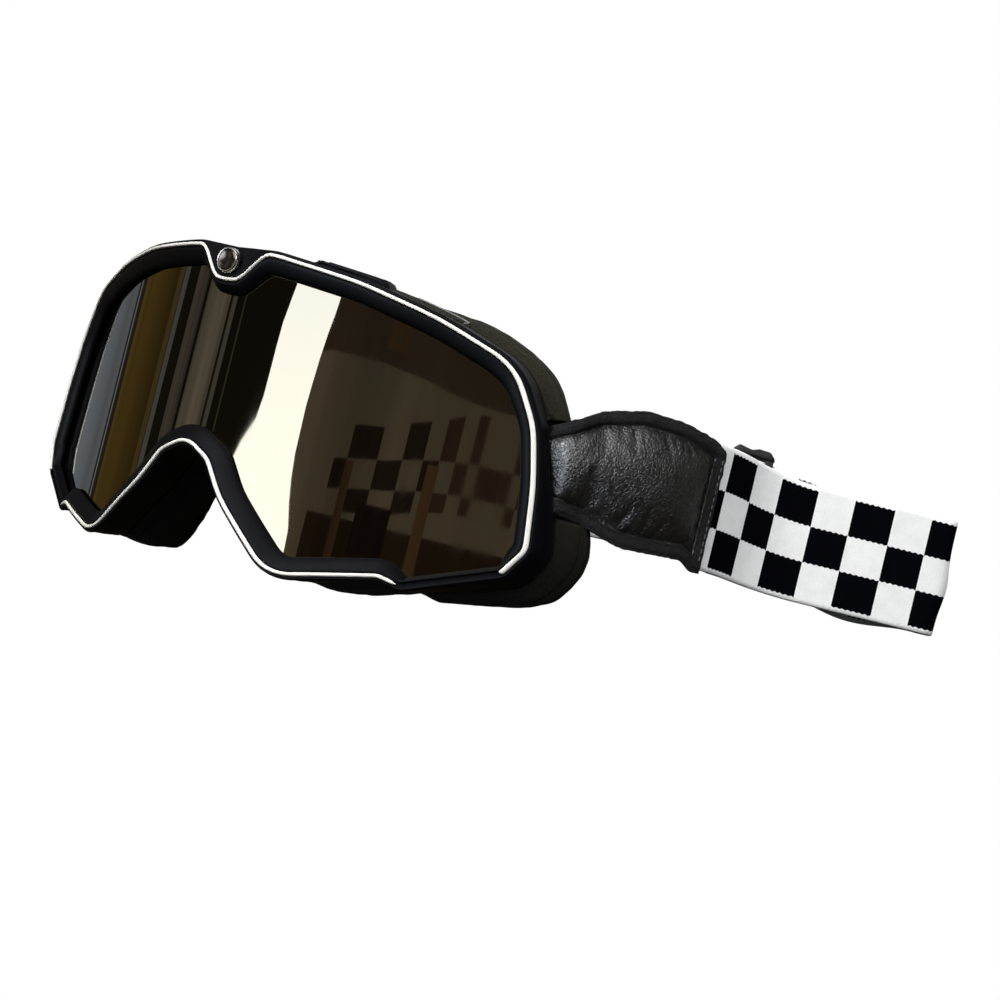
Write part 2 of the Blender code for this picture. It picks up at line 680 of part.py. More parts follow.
def build_outrigger(side, word, leather, padding, steel):
    """Hinge wire on the frame, and on it a lining wrapped round the wire, a pad and a top leather."""
    hinge = Vector((side * HINGE_X, HINGE_Y))
    top = wire_end(side, HINGE_HIGH)
    bottom = wire_end(side, HINGE_LOW)
    leg = Vector((0.0, WIRE_LEG, 0.0))
    wire = [
        top, top + leg,
        Vector((hinge.x, hinge.y, HINGE_HIGH - WIRE_BEND)),
        Vector((hinge.x, hinge.y, HINGE_LOW + WIRE_BEND)),
        bottom + leg, bottom,
    ]
    tube(f"{word}_hinge_wire", wire, WIRE, steel)

    pivot = empty_at(f"{word}_outrigger_pivot", hinge)
    path = outrigger_path(side)
    outer = -side * 1.0        # turns the path's normal to the side that faces away from the head
    wrap = WIRE + HEM_CLEARANCE + LEATHER / 2
    first = path[1] - path[0]
    base_angle = math.degrees(math.atan2(first.y, first.x))
    lining = []
    for k in range(9):
        turn = base_angle - outer * 90.0 - outer * (200.0 - 25.0 * k)
        lining.append(hinge + heading(turn) * wrap)
    follow = [p - n * outer * wrap for p, n in zip(path, plan_normals(path))][2:]
    settle = [blend_step(k, 0, 4) for k in range(len(follow))]
    body_line = [p + n * outer * (wrap - 0.9) * s
                 for p, n, s in zip(follow, plan_normals(path)[2:], settle)]
    neck_low, neck_high = HINGE_LOW + 2.4, HINGE_HIGH - 2.4
    lining += body_line
    hem_share = 9 / (len(lining) - 1)

    def lining_low(u):
        t = max(0.0, (u - hem_share) / (1 - hem_share))
        return min(neck_low, outline_value(LEATHER_BOTTOM, t)) if t > 0.05 else neck_low

    def lining_high(u):
        t = max(0.0, (u - hem_share) / (1 - hem_share))
        return max(neck_high, outline_value(LEATHER_TOP, t)) if t > 0.05 else neck_high

    half = LEATHER / 2
    sheet(f"{word}_leather_lining", lining, lining_low, lining_high,
          lambda u, v: -half, lambda u, v: half, leather, pivot)

    middle = path[1:]

    def crown(u, v, height):
        edge = min(1.0, 4.5 * v * (1 - v) * 1.6) * blend_step(u, 0.0, 0.16) * (1 - blend_step(u, 0.84, 1.0))
        return height * edge

    def share(u):
        return (1 + u * (len(path) - 2)) / (len(path) - 1)

    def low(u):
        return outline_value(LEATHER_BOTTOM, share(u))

    def high(u):
        return outline_value(LEATHER_TOP, share(u))

    top_face = outer * TOP_FACE
    sheet(f"{word}_leather_top", middle, low, high,
          lambda u, v: top_face + outer * (LEATHER + crown(u, v, PAD_CROWN)),
          lambda u, v: top_face + outer * crown(u, v, PAD_CROWN), leather, pivot, columns=8)

    inset_path = path[2:-1]

    def pad_low(u):
        return low(0.1 + 0.8 * u) + PAD_INSET

    def pad_high(u):
        return high(0.1 + 0.8 * u) - PAD_INSET

    def pad_height(u, v):
        swell = math.sin(math.pi * v) * blend_step(u, 0.0, 0.3) * (1 - blend_step(u, 0.7, 1.0))
        return PAD_EDGE + (PAD_CROWN - 1.1) * swell

    sheet(f"{word}_leather_pad", inset_path, pad_low, pad_high,
          lambda u, v: top_face, lambda u, v: top_face + outer * pad_height(u, v),
          padding, pivot, columns=4)


HEM_WRAP = SLIDER_BAR * 0.75 + HEM_CLEARANCE + HEM_HALF    # radius of the hem round the middle bar


def hem_bar_offset():
    """How far the middle bar lies from the middle of the strap, with the hem round the bar."""
    return STRAP_HALF + GAP + HEM_HALF + HEM_WRAP


def build_strap(elastic, plastic):
    seam = Vector((HINGE_X, HINGE_Y)) + Vector(REACH)
    pivot = empty_at("strap_pivot", seam)
    points, rises, fold_end, back_heading = strap_path()
    half = STRAP_HALF

    def rise(u):
        return rises[round(u * (len(rises) - 1))]

    sheet("elastic_strap", points, lambda u: STRAP_LOW + rise(u), lambda u: STRAP_HIGH + rise(u),
          lambda u, v: -half, lambda u, v: half, elastic, pivot)

    along = heading(back_heading)
    away = Vector((along.y, -along.x))
    centre = fold_end + along * SLIDER_AT
    slider = empty_at("slider_pivot", centre)
    build_slider(centre, along, away, plastic, slider)

    bar = centre + away * hem_bar_offset()
    hem = [bar - along * HEM_LENGTH - away * HEM_WRAP, bar - away * HEM_WRAP]
    for k in range(1, 9):
        t = math.radians(180.0 * k / 8)
        hem.append(bar - away * (HEM_WRAP * math.cos(t)) + along * (HEM_WRAP * math.sin(t)))
    hem.append(bar - along * HEM_TUCK + away * HEM_WRAP)
    heights = [RETURN_RISE * (SLIDER_AT + (p - centre).dot(along)) for p in hem]

    def hem_rise(u):
        return heights[round(u * (len(heights) - 1))]

    sheet("strap_end_hem", hem, lambda u: STRAP_LOW + 0.4 + hem_rise(u),
          lambda u: STRAP_HIGH - 0.4 + hem_rise(u),
          lambda u, v: -HEM_HALF, lambda u, v: HEM_HALF, elastic, slider)


def build_slider(centre, along, away, plastic, parent):
    """Three-bar slider: two outer bars pass in front of the strap, the middle bar behind it."""
    low = STRAP_LOW - SLIDER_CLEARANCE
    high = STRAP_HIGH + SLIDER_CLEARANCE
    front = -(STRAP_HALF + GAP + SLIDER_PLATE)
    middle = hem_bar_offset()
    back = middle + SLIDER_BAR / 2 + 0.4
    sunk = 0.2                 # how far a bar's faces lie inside the rails' faces
    root = 1.6                 # how far a bar runs into each rail

    def block(name, s_range, n_range, z_range):
        corners = [(s_range[0], n_range[0]), (s_range[1], n_range[0]),
                   (s_range[1], n_range[1]), (s_range[0], n_range[1])]
        rows = []
        for z in z_range:
            rows.append([Vector((centre.x + along.x * s + away.x * n,
                                 centre.y + along.y * s + away.y * n,
                                 z + RETURN_RISE * (SLIDER_AT + s))) for s, n in corners])
        return section_sweep(name, rows, plastic, closed=False, smooth_angle=30.0)

    half = SLIDER_HALF
    body = block("slider_buckle", (-half, half), (front, back), (high, high + SLIDER_RAIL))
    body.parent = parent
    body.matrix_parent_inverse = parent.matrix_world.inverted()
    span = (low - root, high + root)
    plate = (front + sunk, front + SLIDER_PLATE)
    pieces = [
        block("slider_low_rail", (-half, half), (front, back), (low - SLIDER_RAIL, low)),
        block("slider_near_bar", (sunk - half, sunk - half + SLIDER_BAR), plate, span),
        block("slider_far_bar", (half - sunk - SLIDER_BAR, half - sunk), plate, span),
        block("slider_middle_bar", (-SLIDER_BAR / 2, SLIDER_BAR / 2),
              (middle - SLIDER_BAR / 2, middle + SLIDER_BAR / 2), span),
    ]
    for piece in pieces:
        join = body.modifiers.new("join_" + piece.name, 'BOOLEAN')
        join.operation = 'UNION'
        join.solver = 'EXACT'
        join.object = cutter(piece)


def main():
    for item in list(bpy.data.objects):
        bpy.data.objects.remove(item, do_unlink=True)
    rubber = material("moulded_rubber", (0.014, 0.015, 0.018), 0.62)
    bead = material("piping_white", (0.80, 0.80, 0.76), 0.45)
    glass = material("lens_bronze", (0.035, 0.028, 0.020), 0.06, 0.6, 0.9)
    foam = material("face_foam", (0.022, 0.022, 0.017), 0.95)
    fleece = material("fleece", (0.018, 0.018, 0.016), 1.0)
    leather = material("leather_black", (0.022, 0.022, 0.024), 0.55)
    padding = material("padding", (0.05, 0.05, 0.05), 0.95)
    steel = material("gunmetal", (0.09, 0.085, 0.08), 0.3, 1.0)
    elastic = material("elastic", (0.75, 0.76, 0.78), 0.85)
    plastic = material("buckle_plastic", (0.012, 0.012, 0.013), 0.35)

    build_frame(rubber)
    build_lens(glass)
    build_piping(bead)
    build_rivet(steel)
    build_foam(foam, fleece)
    build_vent_foam(foam)
    build_outrigger(1, "left", leather, padding, steel)
    build_outrigger(-1, "right", leather, padding, steel)
    build_strap(elastic, plastic)


main()
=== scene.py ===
"""Looks for the retro motorcycle goggles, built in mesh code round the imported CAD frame.

Lengths are millimetres from the front of the rim, halfway across and level with the lens's middle;
ORIGIN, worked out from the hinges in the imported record, turns them into the row frame's metres.
"""

import json
import math
import random

import bmesh
import bpy
import numpy as np
from mathutils import Matrix, Vector, noise


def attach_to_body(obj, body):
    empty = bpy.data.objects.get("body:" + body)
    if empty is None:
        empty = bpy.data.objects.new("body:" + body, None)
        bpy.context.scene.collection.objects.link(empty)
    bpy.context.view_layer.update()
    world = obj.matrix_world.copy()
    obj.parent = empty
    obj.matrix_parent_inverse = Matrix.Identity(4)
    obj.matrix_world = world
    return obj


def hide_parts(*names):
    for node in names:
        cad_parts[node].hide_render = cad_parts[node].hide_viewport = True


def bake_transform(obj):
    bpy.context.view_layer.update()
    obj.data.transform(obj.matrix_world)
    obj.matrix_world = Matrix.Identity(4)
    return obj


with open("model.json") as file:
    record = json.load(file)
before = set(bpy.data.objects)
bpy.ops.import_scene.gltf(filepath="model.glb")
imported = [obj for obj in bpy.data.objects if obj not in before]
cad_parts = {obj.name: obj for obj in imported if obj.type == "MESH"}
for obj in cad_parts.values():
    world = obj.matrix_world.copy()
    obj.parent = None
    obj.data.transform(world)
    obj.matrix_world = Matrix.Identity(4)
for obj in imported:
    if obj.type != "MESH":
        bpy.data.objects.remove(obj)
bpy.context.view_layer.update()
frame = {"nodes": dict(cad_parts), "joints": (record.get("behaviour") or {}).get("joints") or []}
noise.seed_set(7)              # Blender draws its vector noise from the clock otherwise

# ---------------------------------------------------------------- driving sizes

MM = 0.001
JOINTS = {joint["name"]: joint for joint in frame["joints"]}
LEFT_HINGE = Vector(JOINTS["left_outrigger_hinge"]["pos_m"])
RIGHT_HINGE = Vector(JOINTS["right_outrigger_hinge"]["pos_m"])
LEFT_SEAM = Vector(JOINTS["strap_seam_hinge"]["pos_m"])
HINGE_Y = 50.2                 # hinges behind the front of the rim
HINGE_Z = 3.0
HINGE_X = (LEFT_HINGE.x - RIGHT_HINGE.x) / 2 / MM
ORIGIN = Vector(((LEFT_HINGE.x + RIGHT_HINGE.x) / 2, LEFT_HINGE.y - HINGE_Y * MM,
                 LEFT_HINGE.z - HINGE_Z * MM))
REACH = Vector((LEFT_SEAM.x - LEFT_HINGE.x, LEFT_SEAM.y - LEFT_HINGE.y)) / MM

# rim outline: (x, z, corner radius) down the wearer's left half
RIM_CORNERS = [
    (0.0, 39.7, 40.0), (13.0, 40.4, 30.0), (36.0, 38.1, 60.0), (55.0, 33.8, 60.0),
    (73.0, 26.6, 16.0), (79.8, 12.5, 30.0), (82.7, -2.0, 90.0), (84.3, -18.5, 6.0),
    (80.3, -25.6, 3.0), (60.3, -34.8, 2.0), (55.5, -33.6, 3.5), (31.0, -40.0, 11.0),
    (14.2, -23.5, 30.0), (8.2, -14.7, 8.0), (0.0, -10.2, 16.0),
]
HALF_WIDTH = 84.3
STATION_PITCH = 1.3
ARC_STEP = 5.0                 # degrees turned between two stations round a corner
BOW = 0.00754                  # front curvature: y = BOW x^2 - EASE x^4
EASE = 2.59e-7
NOTCH_DEPTH = 7.6
NOTCH_FLAT = 2.5
NOTCH_HALF = 12.0
LIP_DEPTH = 2.3
INNER_DIP = 0.82               # share of the notch's drop that the lens opening follows
SEAT_SHARE = 0.45              # how far the lens reaches under the lip, as a share of the lip
SHELF = (-1.2, -0.6)           # where the frame's rear face levels out, at nose and temple
FLANGE = (-1.4, -2.8)          # inner side of the flange that carries the foam, the same way
LENS_FRONT = 3.8
LENS_BACK = 4.9
LENS_PLAY = 0.4
REAR_LIP = 6.6
FRAME_DEPTH = (14.0, 5.2)      # at the nose and at the temples
FRAME_CORNER = 2.8             # extra at the lower outer corners
FOAM_DEPTH = (30.0, 19.0)
CHEEK_DEPTH = 7.0
BASE_FOAM = 4.4
FLEECE = 2.4
FRAME_FLARE = (0.4, 1.2, 0.9, 2.4)       # nose, brow, upper temple, lower temple
BASE_FLARE = (0.6, 3.6, 2.6, 5.4)
SOFT_FLARE = (0.6, 3.6, 0.4, 5.6)
FLEECE_FLARE = (0.4, 2.6, -1.0, 5.2)
PIPING_HALF = 0.52             # half width of the bead, then its height
PIPING_RISE = 0.58
PIPING_ENDS = ((80.3, -26.0), (59.5, -34.6))      # where the upper and the lower bead stop
GROOVE_DEPTH = 1.0
SCOOP_VENT = (20.0, 36.5)
SLOT_VENT = (45.0, 56.5)
SCOOP_RISE = 2.0
BROW_TUCK = 2.3                # the foam sits lower behind the scoops than further out
RIVET_Z = 37.0
NECK_X = 77.3                  # foam stops here beside the hinge
NECK_TOP = (15.2, 19.8)        # heights where the relief starts to fade and ends
NECK_LOW = (6.8, 8.8)          # the same below, measured downwards

LEATHER_TOP = [(0.0, 17.0), (0.1, 20.0), (0.2, 22.3), (0.4, 24.6), (0.62, 24.3), (0.84, 22.4), (1.0, 18.6)]
LEATHER_BOTTOM = [(0.0, -7.0), (0.17, -8.3), (0.40, -11.5), (0.80, -10.4), (0.92, -12.8), (1.0, -12.6)]
HINGE_BEND = (-1.0, 8.0)       # run of the leather past its hinge; attach works out two points from it and uses neither
STRAP_LOW = -13.2
STRAP_HIGH = 18.8
STRAP_HALF = 0.8
FRONT_LEG = 12.0
FRONT_BEND = (20.0, -44.0)
FRONT_RUN = 37.4
FOLD_RADIUS = 3.0
FOLD_TURN = 175.0
RETURN_RUN = 74.0
RETURN_RISE = 0.066
REAR_ARCH = 1.1                # the elastic arches up a little behind the goggles
RETURN_SAG = (2.6, 41.0)       # the return run hangs a little between the fold and the slider
SLIDER_AT = 54.6
SLIDER_HALF = 5.8
SLIDER_RAIL = 2.6
LOW_RAIL = 1.2                 # the lower rail is slimmer, hidden behind the strap
SLIDER_CLEARANCE = 0.6
SLIDER_BAR = 2.2
HEM_LENGTH = 22.0
HEM_HALF = 0.5
GAP = 0.3                      # clearance between the elastic and the slider
LEFT_END, RIGHT_END = 84.0, 40.0         # headings of the elastic at its two seams
CHECK = 10.8                   # length of one check along the strap
FIRST_CHECK = 2.0              # where the first full column starts, from the seam
STRAP_LIFT = (1.5, 1.8, 36.0)  # the strap stands higher at the leather: whole, extra at the top, run out
MARGIN = 1.3                   # plain edge above and below the checks
BANDS = 7                      # strips of mesh across each check
TOOTH = 0.8                    # pitch of the stepped edges that weaving leaves on a check


# ---------------------------------------------------------------- curves of the rim

def blend_step(value, low, high):
    """0 below low, 1 above high, smooth between."""
    t = min(max((value - low) / (high - low), 0.0), 1.0)
    return t * t * (3.0 - 2.0 * t)


def spread(low, high, count):
    """Even steps from low to high, both included."""
    return [low + (high - low) * k / count for k in range(count + 1)]


def front_depth(x):
    return BOW * x * x - EASE * x ** 4


def nose_to_temple(x, pair):
    return pair[0] + (pair[1] - pair[0]) * min(abs(x) / HALF_WIDTH, 1.0) ** 2


def notch_dip(x, share):
    return share * NOTCH_DEPTH * (1.0 - blend_step(abs(x), NOTCH_FLAT, NOTCH_HALF))


def corner_points(before, corner, after):
    """Round one corner of the outline with a quadratic arc."""
    point = Vector(corner[:2])
    to_before = Vector(before[:2]) - point
    to_after = Vector(after[:2]) - point
    angle = to_before.angle(to_after, math.pi)
    if angle > math.pi - 0.01:
        return [point]
    run = min(corner[2] / math.tan(angle / 2), 0.46 * to_before.length, 0.46 * to_after.length)
    start = point + to_before.normalized() * run
    end = point + to_after.normalized() * run
    count = max(2, round(math.degrees(math.pi - angle) / ARC_STEP))
    steps = [k / count for k in range(count + 1)]
    return [start * (1 - t) ** 2 + point * (2 * t * (1 - t)) + end * t * t for t in steps]


def half_outline():
    """Stations down the wearer's left half, from the middle of the brow to the nose."""
    corners = RIM_CORNERS
    chain = [(-corners[1][0], corners[1][1], 0)] + corners + [(-corners[-2][0], corners[-2][1], 0)]
    rounded = []
    for before, corner, after in zip(chain, chain[1:], chain[2:]):
        rounded += [p for p in corner_points(before, corner, after) if p.x > 0.2]
    nose = corner_points(chain[-3], chain[-2], chain[-1])
    apex = 0.5 * (nose[(len(nose) - 1) // 2] + nose[len(nose) // 2])
    rounded = [Vector((0.0, corners[0][1]))] + rounded + [Vector((0.0, apex.y))]
    stations = [rounded[0]]
    for point in rounded[1:]:
        last = stations[-1]
        pieces = max(1, math.ceil((point - last).length / STATION_PITCH))
        stations += [last.lerp(point, k / pieces) for k in range(1, pieces + 1)]
    return stations


def full_outline():
    """Closed outline, clockwise seen from the front, with an outward normal at each station."""
    right = half_outline()
    points = right + [Vector((-p.x, p.y)) for p in reversed(right[1:-1])]
    count = len(points)
    normals = []
    for i in range(count):
        tangent = Vector((0.0, 0.0))
        for reach in (1, 2, 3):
            tangent += (points[(i + reach) % count] - points[i - reach]).normalized()
        normals.append(Vector((-tangent.y, tangent.x)).normalized())
    return points, normals


OUTLINE, NORMALS = full_outline()
BROW = [p for p in half_outline() if p.y > 20.0]


def brow_point(side, x, depth, offset):
    """A point on the top wall: x out from the middle, a depth behind the front, above the rim line."""
    z = float(np.interp(x, [p.x for p in BROW], [p.y for p in BROW]))
    return Vector((side * x, front_depth(x) + depth, z + offset))


def lip_width(x, z):
    width = 4.8 - 0.8 * blend_step(abs(x), 70.0, 80.0)
    corner = blend_step(abs(x), 54.0, 61.0) * blend_step(-z, 20.0, 26.0)
    return width - corner * (width - 2.4)


def flare_at(flare, x, z):
    nose, brow, upper, lower = flare
    if flare is not FRAME_FLARE:
        brow -= BROW_TUCK * (1.0 - blend_step(abs(x), 42.0, 62.0))
    middle = nose + (brow - nose) * blend_step(z, -4.0, 8.0)
    side = lower + (upper - lower) * blend_step(z, -14.0, 10.0)
    return middle + (side - middle) * blend_step(abs(x), 56.0, 80.0)


def at_temple(pair, x):
    return pair[0] + (pair[1] - pair[0]) * blend_step(abs(x), 66.0, 76.0)


def frame_back(x, z):
    corner = blend_step(abs(x), 50.0, 76.0) * blend_step(-z, -2.0, 18.0)
    return nose_to_temple(x, FRAME_DEPTH) + FRAME_CORNER * corner


def frame_inner_back(x, z):
    return max(frame_back(x, z), REAR_LIP + at_temple((1.1, 2.0), x))


def foam_back(x, z):
    cheek = blend_step(-z, 16.0, 36.0) * (1.0 - blend_step(abs(x), 36.0, 62.0))
    return nose_to_temple(x, FOAM_DEPTH) + CHEEK_DEPTH * cheek


def neck_share(z):
    """1 at the heights where the leather's root swings, 0 clear of it."""
    return (1.0 - blend_step(z, *NECK_TOP)) * (1.0 - blend_step(-z, *NECK_LOW))


def ring_point(index, offset, depth, dip=0.0):
    """A point at an offset outside the rim line and a depth behind the front."""
    station = OUTLINE[index]
    normal = NORMALS[index]
    x = station.x + normal.x * offset
    z = station.y + normal.y * offset
    if dip and station.y > 0:
        z -= notch_dip(x, dip)
    return Vector((x, front_depth(x) + depth, z))


# ---------------------------------------------------------------- mesh helpers

def attach(item, body):
    """Put a finished piece on its body; an outrigger's piece only has its transform baked into its mesh and
    goes on no body.
    """
    if not body.endswith("outrigger"):
        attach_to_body(item, body)
        return
    path = outrigger_path(1 if body.startswith("left") else -1)
    ahead = (path[1] - path[0]).normalized()
    bend = [path[0] + ahead * reach for reach in HINGE_BEND]
    start, end = [ORIGIN + p.to_3d() * MM for p in bend]
    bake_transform(item)
    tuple(start)
    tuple(end)


def make(name, points, faces, finishes, body=None, face_finish=None, smooth=50.0):
    """A mesh piece from millimetre points. face_finish gives each face's index into finishes."""
    mesh = bpy.data.meshes.new(name)
    mesh.from_pydata([ORIGIN + Vector(p) * MM for p in points], [], faces)
    for finish in finishes:
        mesh.materials.append(finish)
    if face_finish is not None:
        mesh.polygons.foreach_set("material_index", face_finish)
    shape = bmesh.new()
    shape.from_mesh(mesh)
    bmesh.ops.recalc_face_normals(shape, faces=shape.faces)
    shape.to_mesh(mesh)
    shape.free()
    mesh.shade_smooth()
    mesh.set_sharp_from_angle(angle=math.radians(smooth))
    item = bpy.data.objects.new(name, mesh)
    bpy.context.scene.collection.objects.link(item)
    if body:
        attach(item, body)
    return item


def loft(count, ring, closed):
    """Quads between rows of a closed section; open sweeps get flat end caps."""
    faces = []
    for i in range(count if closed else count - 1):
        j = (i + 1) % count
        for k in range(ring):
            m = (k + 1) % ring
            faces.append((i * ring + k, i * ring + m, j * ring + m, j * ring + k))
    if not closed:
        faces.append(tuple(range(ring)))
        faces.append(tuple((count - 1) * ring + k for k in reversed(range(ring))))
    return faces


def slab_faces(count, columns):
    """Faces of a closed sheet whose rows run up one side and down the other, with ruled ends."""
    ring = 2 * (columns + 1)
    faces = loft(count, ring, False)[:-2]
    for base in (0, (count - 1) * ring):
        faces += [(base + j, base + j + 1, base + ring - 2 - j, base + ring - 1 - j) for j in range(columns)]
    return faces


def there_and_back(count):
    """Indices up one side of a sheet and down the other, with -1 and 1 for the side."""
    return [(-1, j) for j in range(count)] + [(1, j) for j in reversed(range(count))]


def sweep(name, rows, finish, body, closed=True, smooth=50.0):
    points = [p for row in rows for p in row]
    return make(name, points, loft(len(rows), len(rows[0]), closed), [finish], body, smooth=smooth)


def round_section(corners, radii, steps):
    """Round the corners of a closed section given as (offset, depth, dip)."""
    made = []
    for i, (corner, radius) in enumerate(zip(corners, radii)):
        here = Vector(corner)
        if radius <= 0.0:
            made.append(here)
            continue
        into = Vector(corners[i - 1]) - here
        out = Vector(corners[(i + 1) % len(corners)]) - here
        start = here + into * min(0.45, radius / max(into.xy.length, 1e-6))
        end = here + out * min(0.45, radius / max(out.xy.length, 1e-6))
        for t in spread(0.0, 1.0, steps):
            made.append(start * (1 - t) ** 2 + here * (2 * t * (1 - t)) + end * t * t)
    return made


def tube(name, path, radius, finish, body, sides):
    """A round cord along a path of points; radius is a number or a function of the share run."""
    rows = []
    last = len(path) - 1
    up = Vector((0.0, 0.0, 1.0))
    for i, point in enumerate(path):
        along = (path[min(i + 1, last)] - path[max(i - 1, 0)]).normalized()
        if abs(along.z) > 0.9:
            up = Vector((1.0, 0.0, 0.0))
        side = up.cross(along).normalized()
        other = along.cross(side)
        size = radius(i / last) if callable(radius) else radius
        turns = [2 * math.pi * k / sides for k in range(sides)]
        rows.append([point + side * (size * math.cos(t)) + other * (size * math.sin(t)) for t in turns])
    return sweep(name, rows, finish, body, closed=False)


def turned(name, profile, centre, finish, body, sides=48):
    """A round piece whose axis runs along Y; profile is (radius, y), first and last on the axis."""
    turns = [2 * math.pi * k / sides for k in range(sides)]
    ends = [Vector((0.0, profile[0][1], 0.0))], [Vector((0.0, profile[-1][1], 0.0))]
    rings = [[Vector((radius * math.cos(t), y, radius * math.sin(t))) for t in turns]
             for radius, y in profile[1:-1]]
    points = [Vector(centre) + p for ring in (ends[0], *rings, ends[1]) for p in ring]
    faces = []
    last = len(points) - 1
    for k in range(sides):
        m = (k + 1) % sides
        faces.append((0, 1 + k, 1 + m))
        for a in range(1, last - sides, sides):
            faces.append((a + k, a + sides + k, a + sides + m, a + m))
        faces.append((last - sides + m, last - sides + k, last))
    return make(name, points, faces, [finish], body, smooth=35.0)


def apply_modifiers(item):
    """Replace the piece's mesh with its evaluated one."""
    bpy.context.view_layer.update()
    graph = bpy.context.evaluated_depsgraph_get()
    mesh = bpy.data.meshes.new_from_object(item.evaluated_get(graph))
    item.modifiers.clear()
    item.data = mesh


def cut_with(item, tools):
    """Subtract helper solids, then delete them."""
    for tool in tools:
        change = item.modifiers.new(tool.name, 'BOOLEAN')
        change.operation = 'DIFFERENCE'
        change.solver = 'EXACT'
        change.object = tool
    apply_modifiers(item)
    for tool in tools:
        bpy.data.objects.remove(tool, do_unlink=True)
    item.data.set_sharp_from_angle(angle=math.radians(50.0))


# ---------------------------------------------------------------- materials

def node(tree, kind, inputs=None, **settings):
    """Add a shader node; inputs are values or (node, output) pairs."""
    made = tree.nodes.new("ShaderNode" + kind)
    for key, value in settings.items():
        setattr(made, key, value)
    for key, value in (inputs or {}).items():
        if isinstance(value, tuple) and len(value) == 2 and hasattr(value[0], "outputs"):
            tree.links.new(value[0].outputs[value[1]], made.inputs[key])
        else:
            made.inputs[key].default_value = value
    return made


def ramp(tree, source, stops):
    """A colour ramp from a (node, output) pair; stops are (place, grey or colour)."""
    made = tree.nodes.new("ShaderNodeValToRGB")
    tree.links.new(source[0].outputs[source[1]], made.inputs["Fac"])
    for k, (place, value) in enumerate(stops):
        colour = value if isinstance(value, tuple) else (value, value, value)
        stop = made.color_ramp.elements[k] if k < 2 else made.color_ramp.elements.new(place)
        stop.position = place
        stop.color = (*colour, 1.0)
    return made


def drive(tree, shader, socket, source, stops):
    """Drive one of the shader's inputs with a ramp of a (node, output) pair."""
    tree.links.new(ramp(tree, source, stops).outputs["Color"], shader.inputs[socket])


def surface(name, roughness=0.5, metallic=0.0, **extra):
    """A node material with its Principled shader; returns (material, tree, shader, coordinates)."""
    made = bpy.data.materials.new(name)
    made.use_nodes = True
    tree = made.node_tree
    shader = tree.nodes["Principled BSDF"]
    shader.inputs["Roughness"].default_value = roughness
    shader.inputs["Metallic"].default_value = metallic
    for key, value in extra.items():
        shader.inputs[key.replace("_", " ")].default_value = value
    places = node(tree, "TexCoord")
    scaled = node(tree, "VectorMath", {0: (places, "Object"), 1: (1000.0, 1000.0, 1000.0)},
                  operation='MULTIPLY')
    return made, tree, shader, (scaled, "Vector")


def noise_at(tree, where, scale, detail=4.0, rough=0.55, stretch=None):
    """Noise whose scale is in features per millimetre."""
    if stretch:
        where = (node(tree, "VectorMath", {0: where, 1: stretch}, operation='MULTIPLY'), "Vector")
    return node(tree, "TexNoise", {"Vector": where, "Scale": scale, "Detail": detail, "Roughness": rough})


def bump(tree, shader, layers):
    """Chain height layers, each ((node, output), strength, distance in mm), into the normal."""
    last = None
    for height, strength, distance in layers:
        inputs = {"Height": height, "Strength": strength, "Distance": distance * MM}
        if last:
            inputs["Normal"] = (last, "Normal")
        last = node(tree, "Bump", inputs)
    tree.links.new(last.outputs["Normal"], shader.inputs["Normal"])


def rubber_material(name, low, high, roughness, shine):
    """Soft matte moulding: fine grain, a little mottling, convex edges mixed slightly paler."""
    made, tree, shader, where = surface(name, roughness, Specular_IOR_Level=shine)
    broad = noise_at(tree, where, 0.06, 3.0)
    fine = noise_at(tree, where, 4.5, 6.0, 0.7)
    colour = ramp(tree, (broad, "Fac"), [(0.35, low), (0.7, high)])
    # Convex edges, found by pointiness, are mixed towards a slightly paler grey.
    shape = node(tree, "NewGeometry")
    pale_edges_and_painted_shade = ramp(tree, (shape, "Pointiness"), [(0.50, 0.0), (0.60, 0.35)])
    mixed = node(tree, "MixRGB", {"Fac": (pale_edges_and_painted_shade, "Color"), "Color1": (colour, "Color"),
                                  "Color2": (0.016, 0.0165, 0.019, 1.0)})
    tree.links.new(mixed.outputs["Color"], shader.inputs["Base Color"])
    drive(tree, shader, "Roughness", (fine, "Fac"), [(0.3, roughness - 0.07), (0.75, roughness + 0.09)])
    bump(tree, shader, [((broad, "Fac"), 0.12, 0.3), ((fine, "Fac"), 0.14, 0.05)])
    return made


def piping_material():
    """Off-white cord with faint grime."""
    made, tree, shader, where = surface("piping_white", 0.42)
    grime = noise_at(tree, where, 0.35, 5.0, 0.65)
    drive(tree, shader, "Base Color", (grime, "Fac"),
          [(0.25, (0.77, 0.76, 0.71)), (0.5, (0.88, 0.87, 0.83))])
    fine = noise_at(tree, where, 2.2, 3.0)
    bump(tree, shader, [((fine, "Fac"), 0.03, 0.02)])
    return made


def lens_material():
    """Dark bronze mirror coating; a faint vertical tint and a few smears in its polish."""
    made, tree, shader, where = surface("lens_bronze", 0.02, 1.0)
    split = node(tree, "SeparateXYZ", {"Vector": where})
    tall = node(tree, "MapRange", {"Value": (split, "Z"), "From Min": 0.0, "From Max": 85.0})
    drive(tree, shader, "Base Color", (tall, "Result"),
          [(0.0, (0.088, 0.078, 0.056)), (1.0, (0.072, 0.067, 0.052))])
    smear = noise_at(tree, where, 0.08, 5.0, 0.7, (1.0, 1.0, 0.3))
    drive(tree, shader, "Roughness", (smear, "Fac"), [(0.45, 0.012), (0.8, 0.05)])
    return made


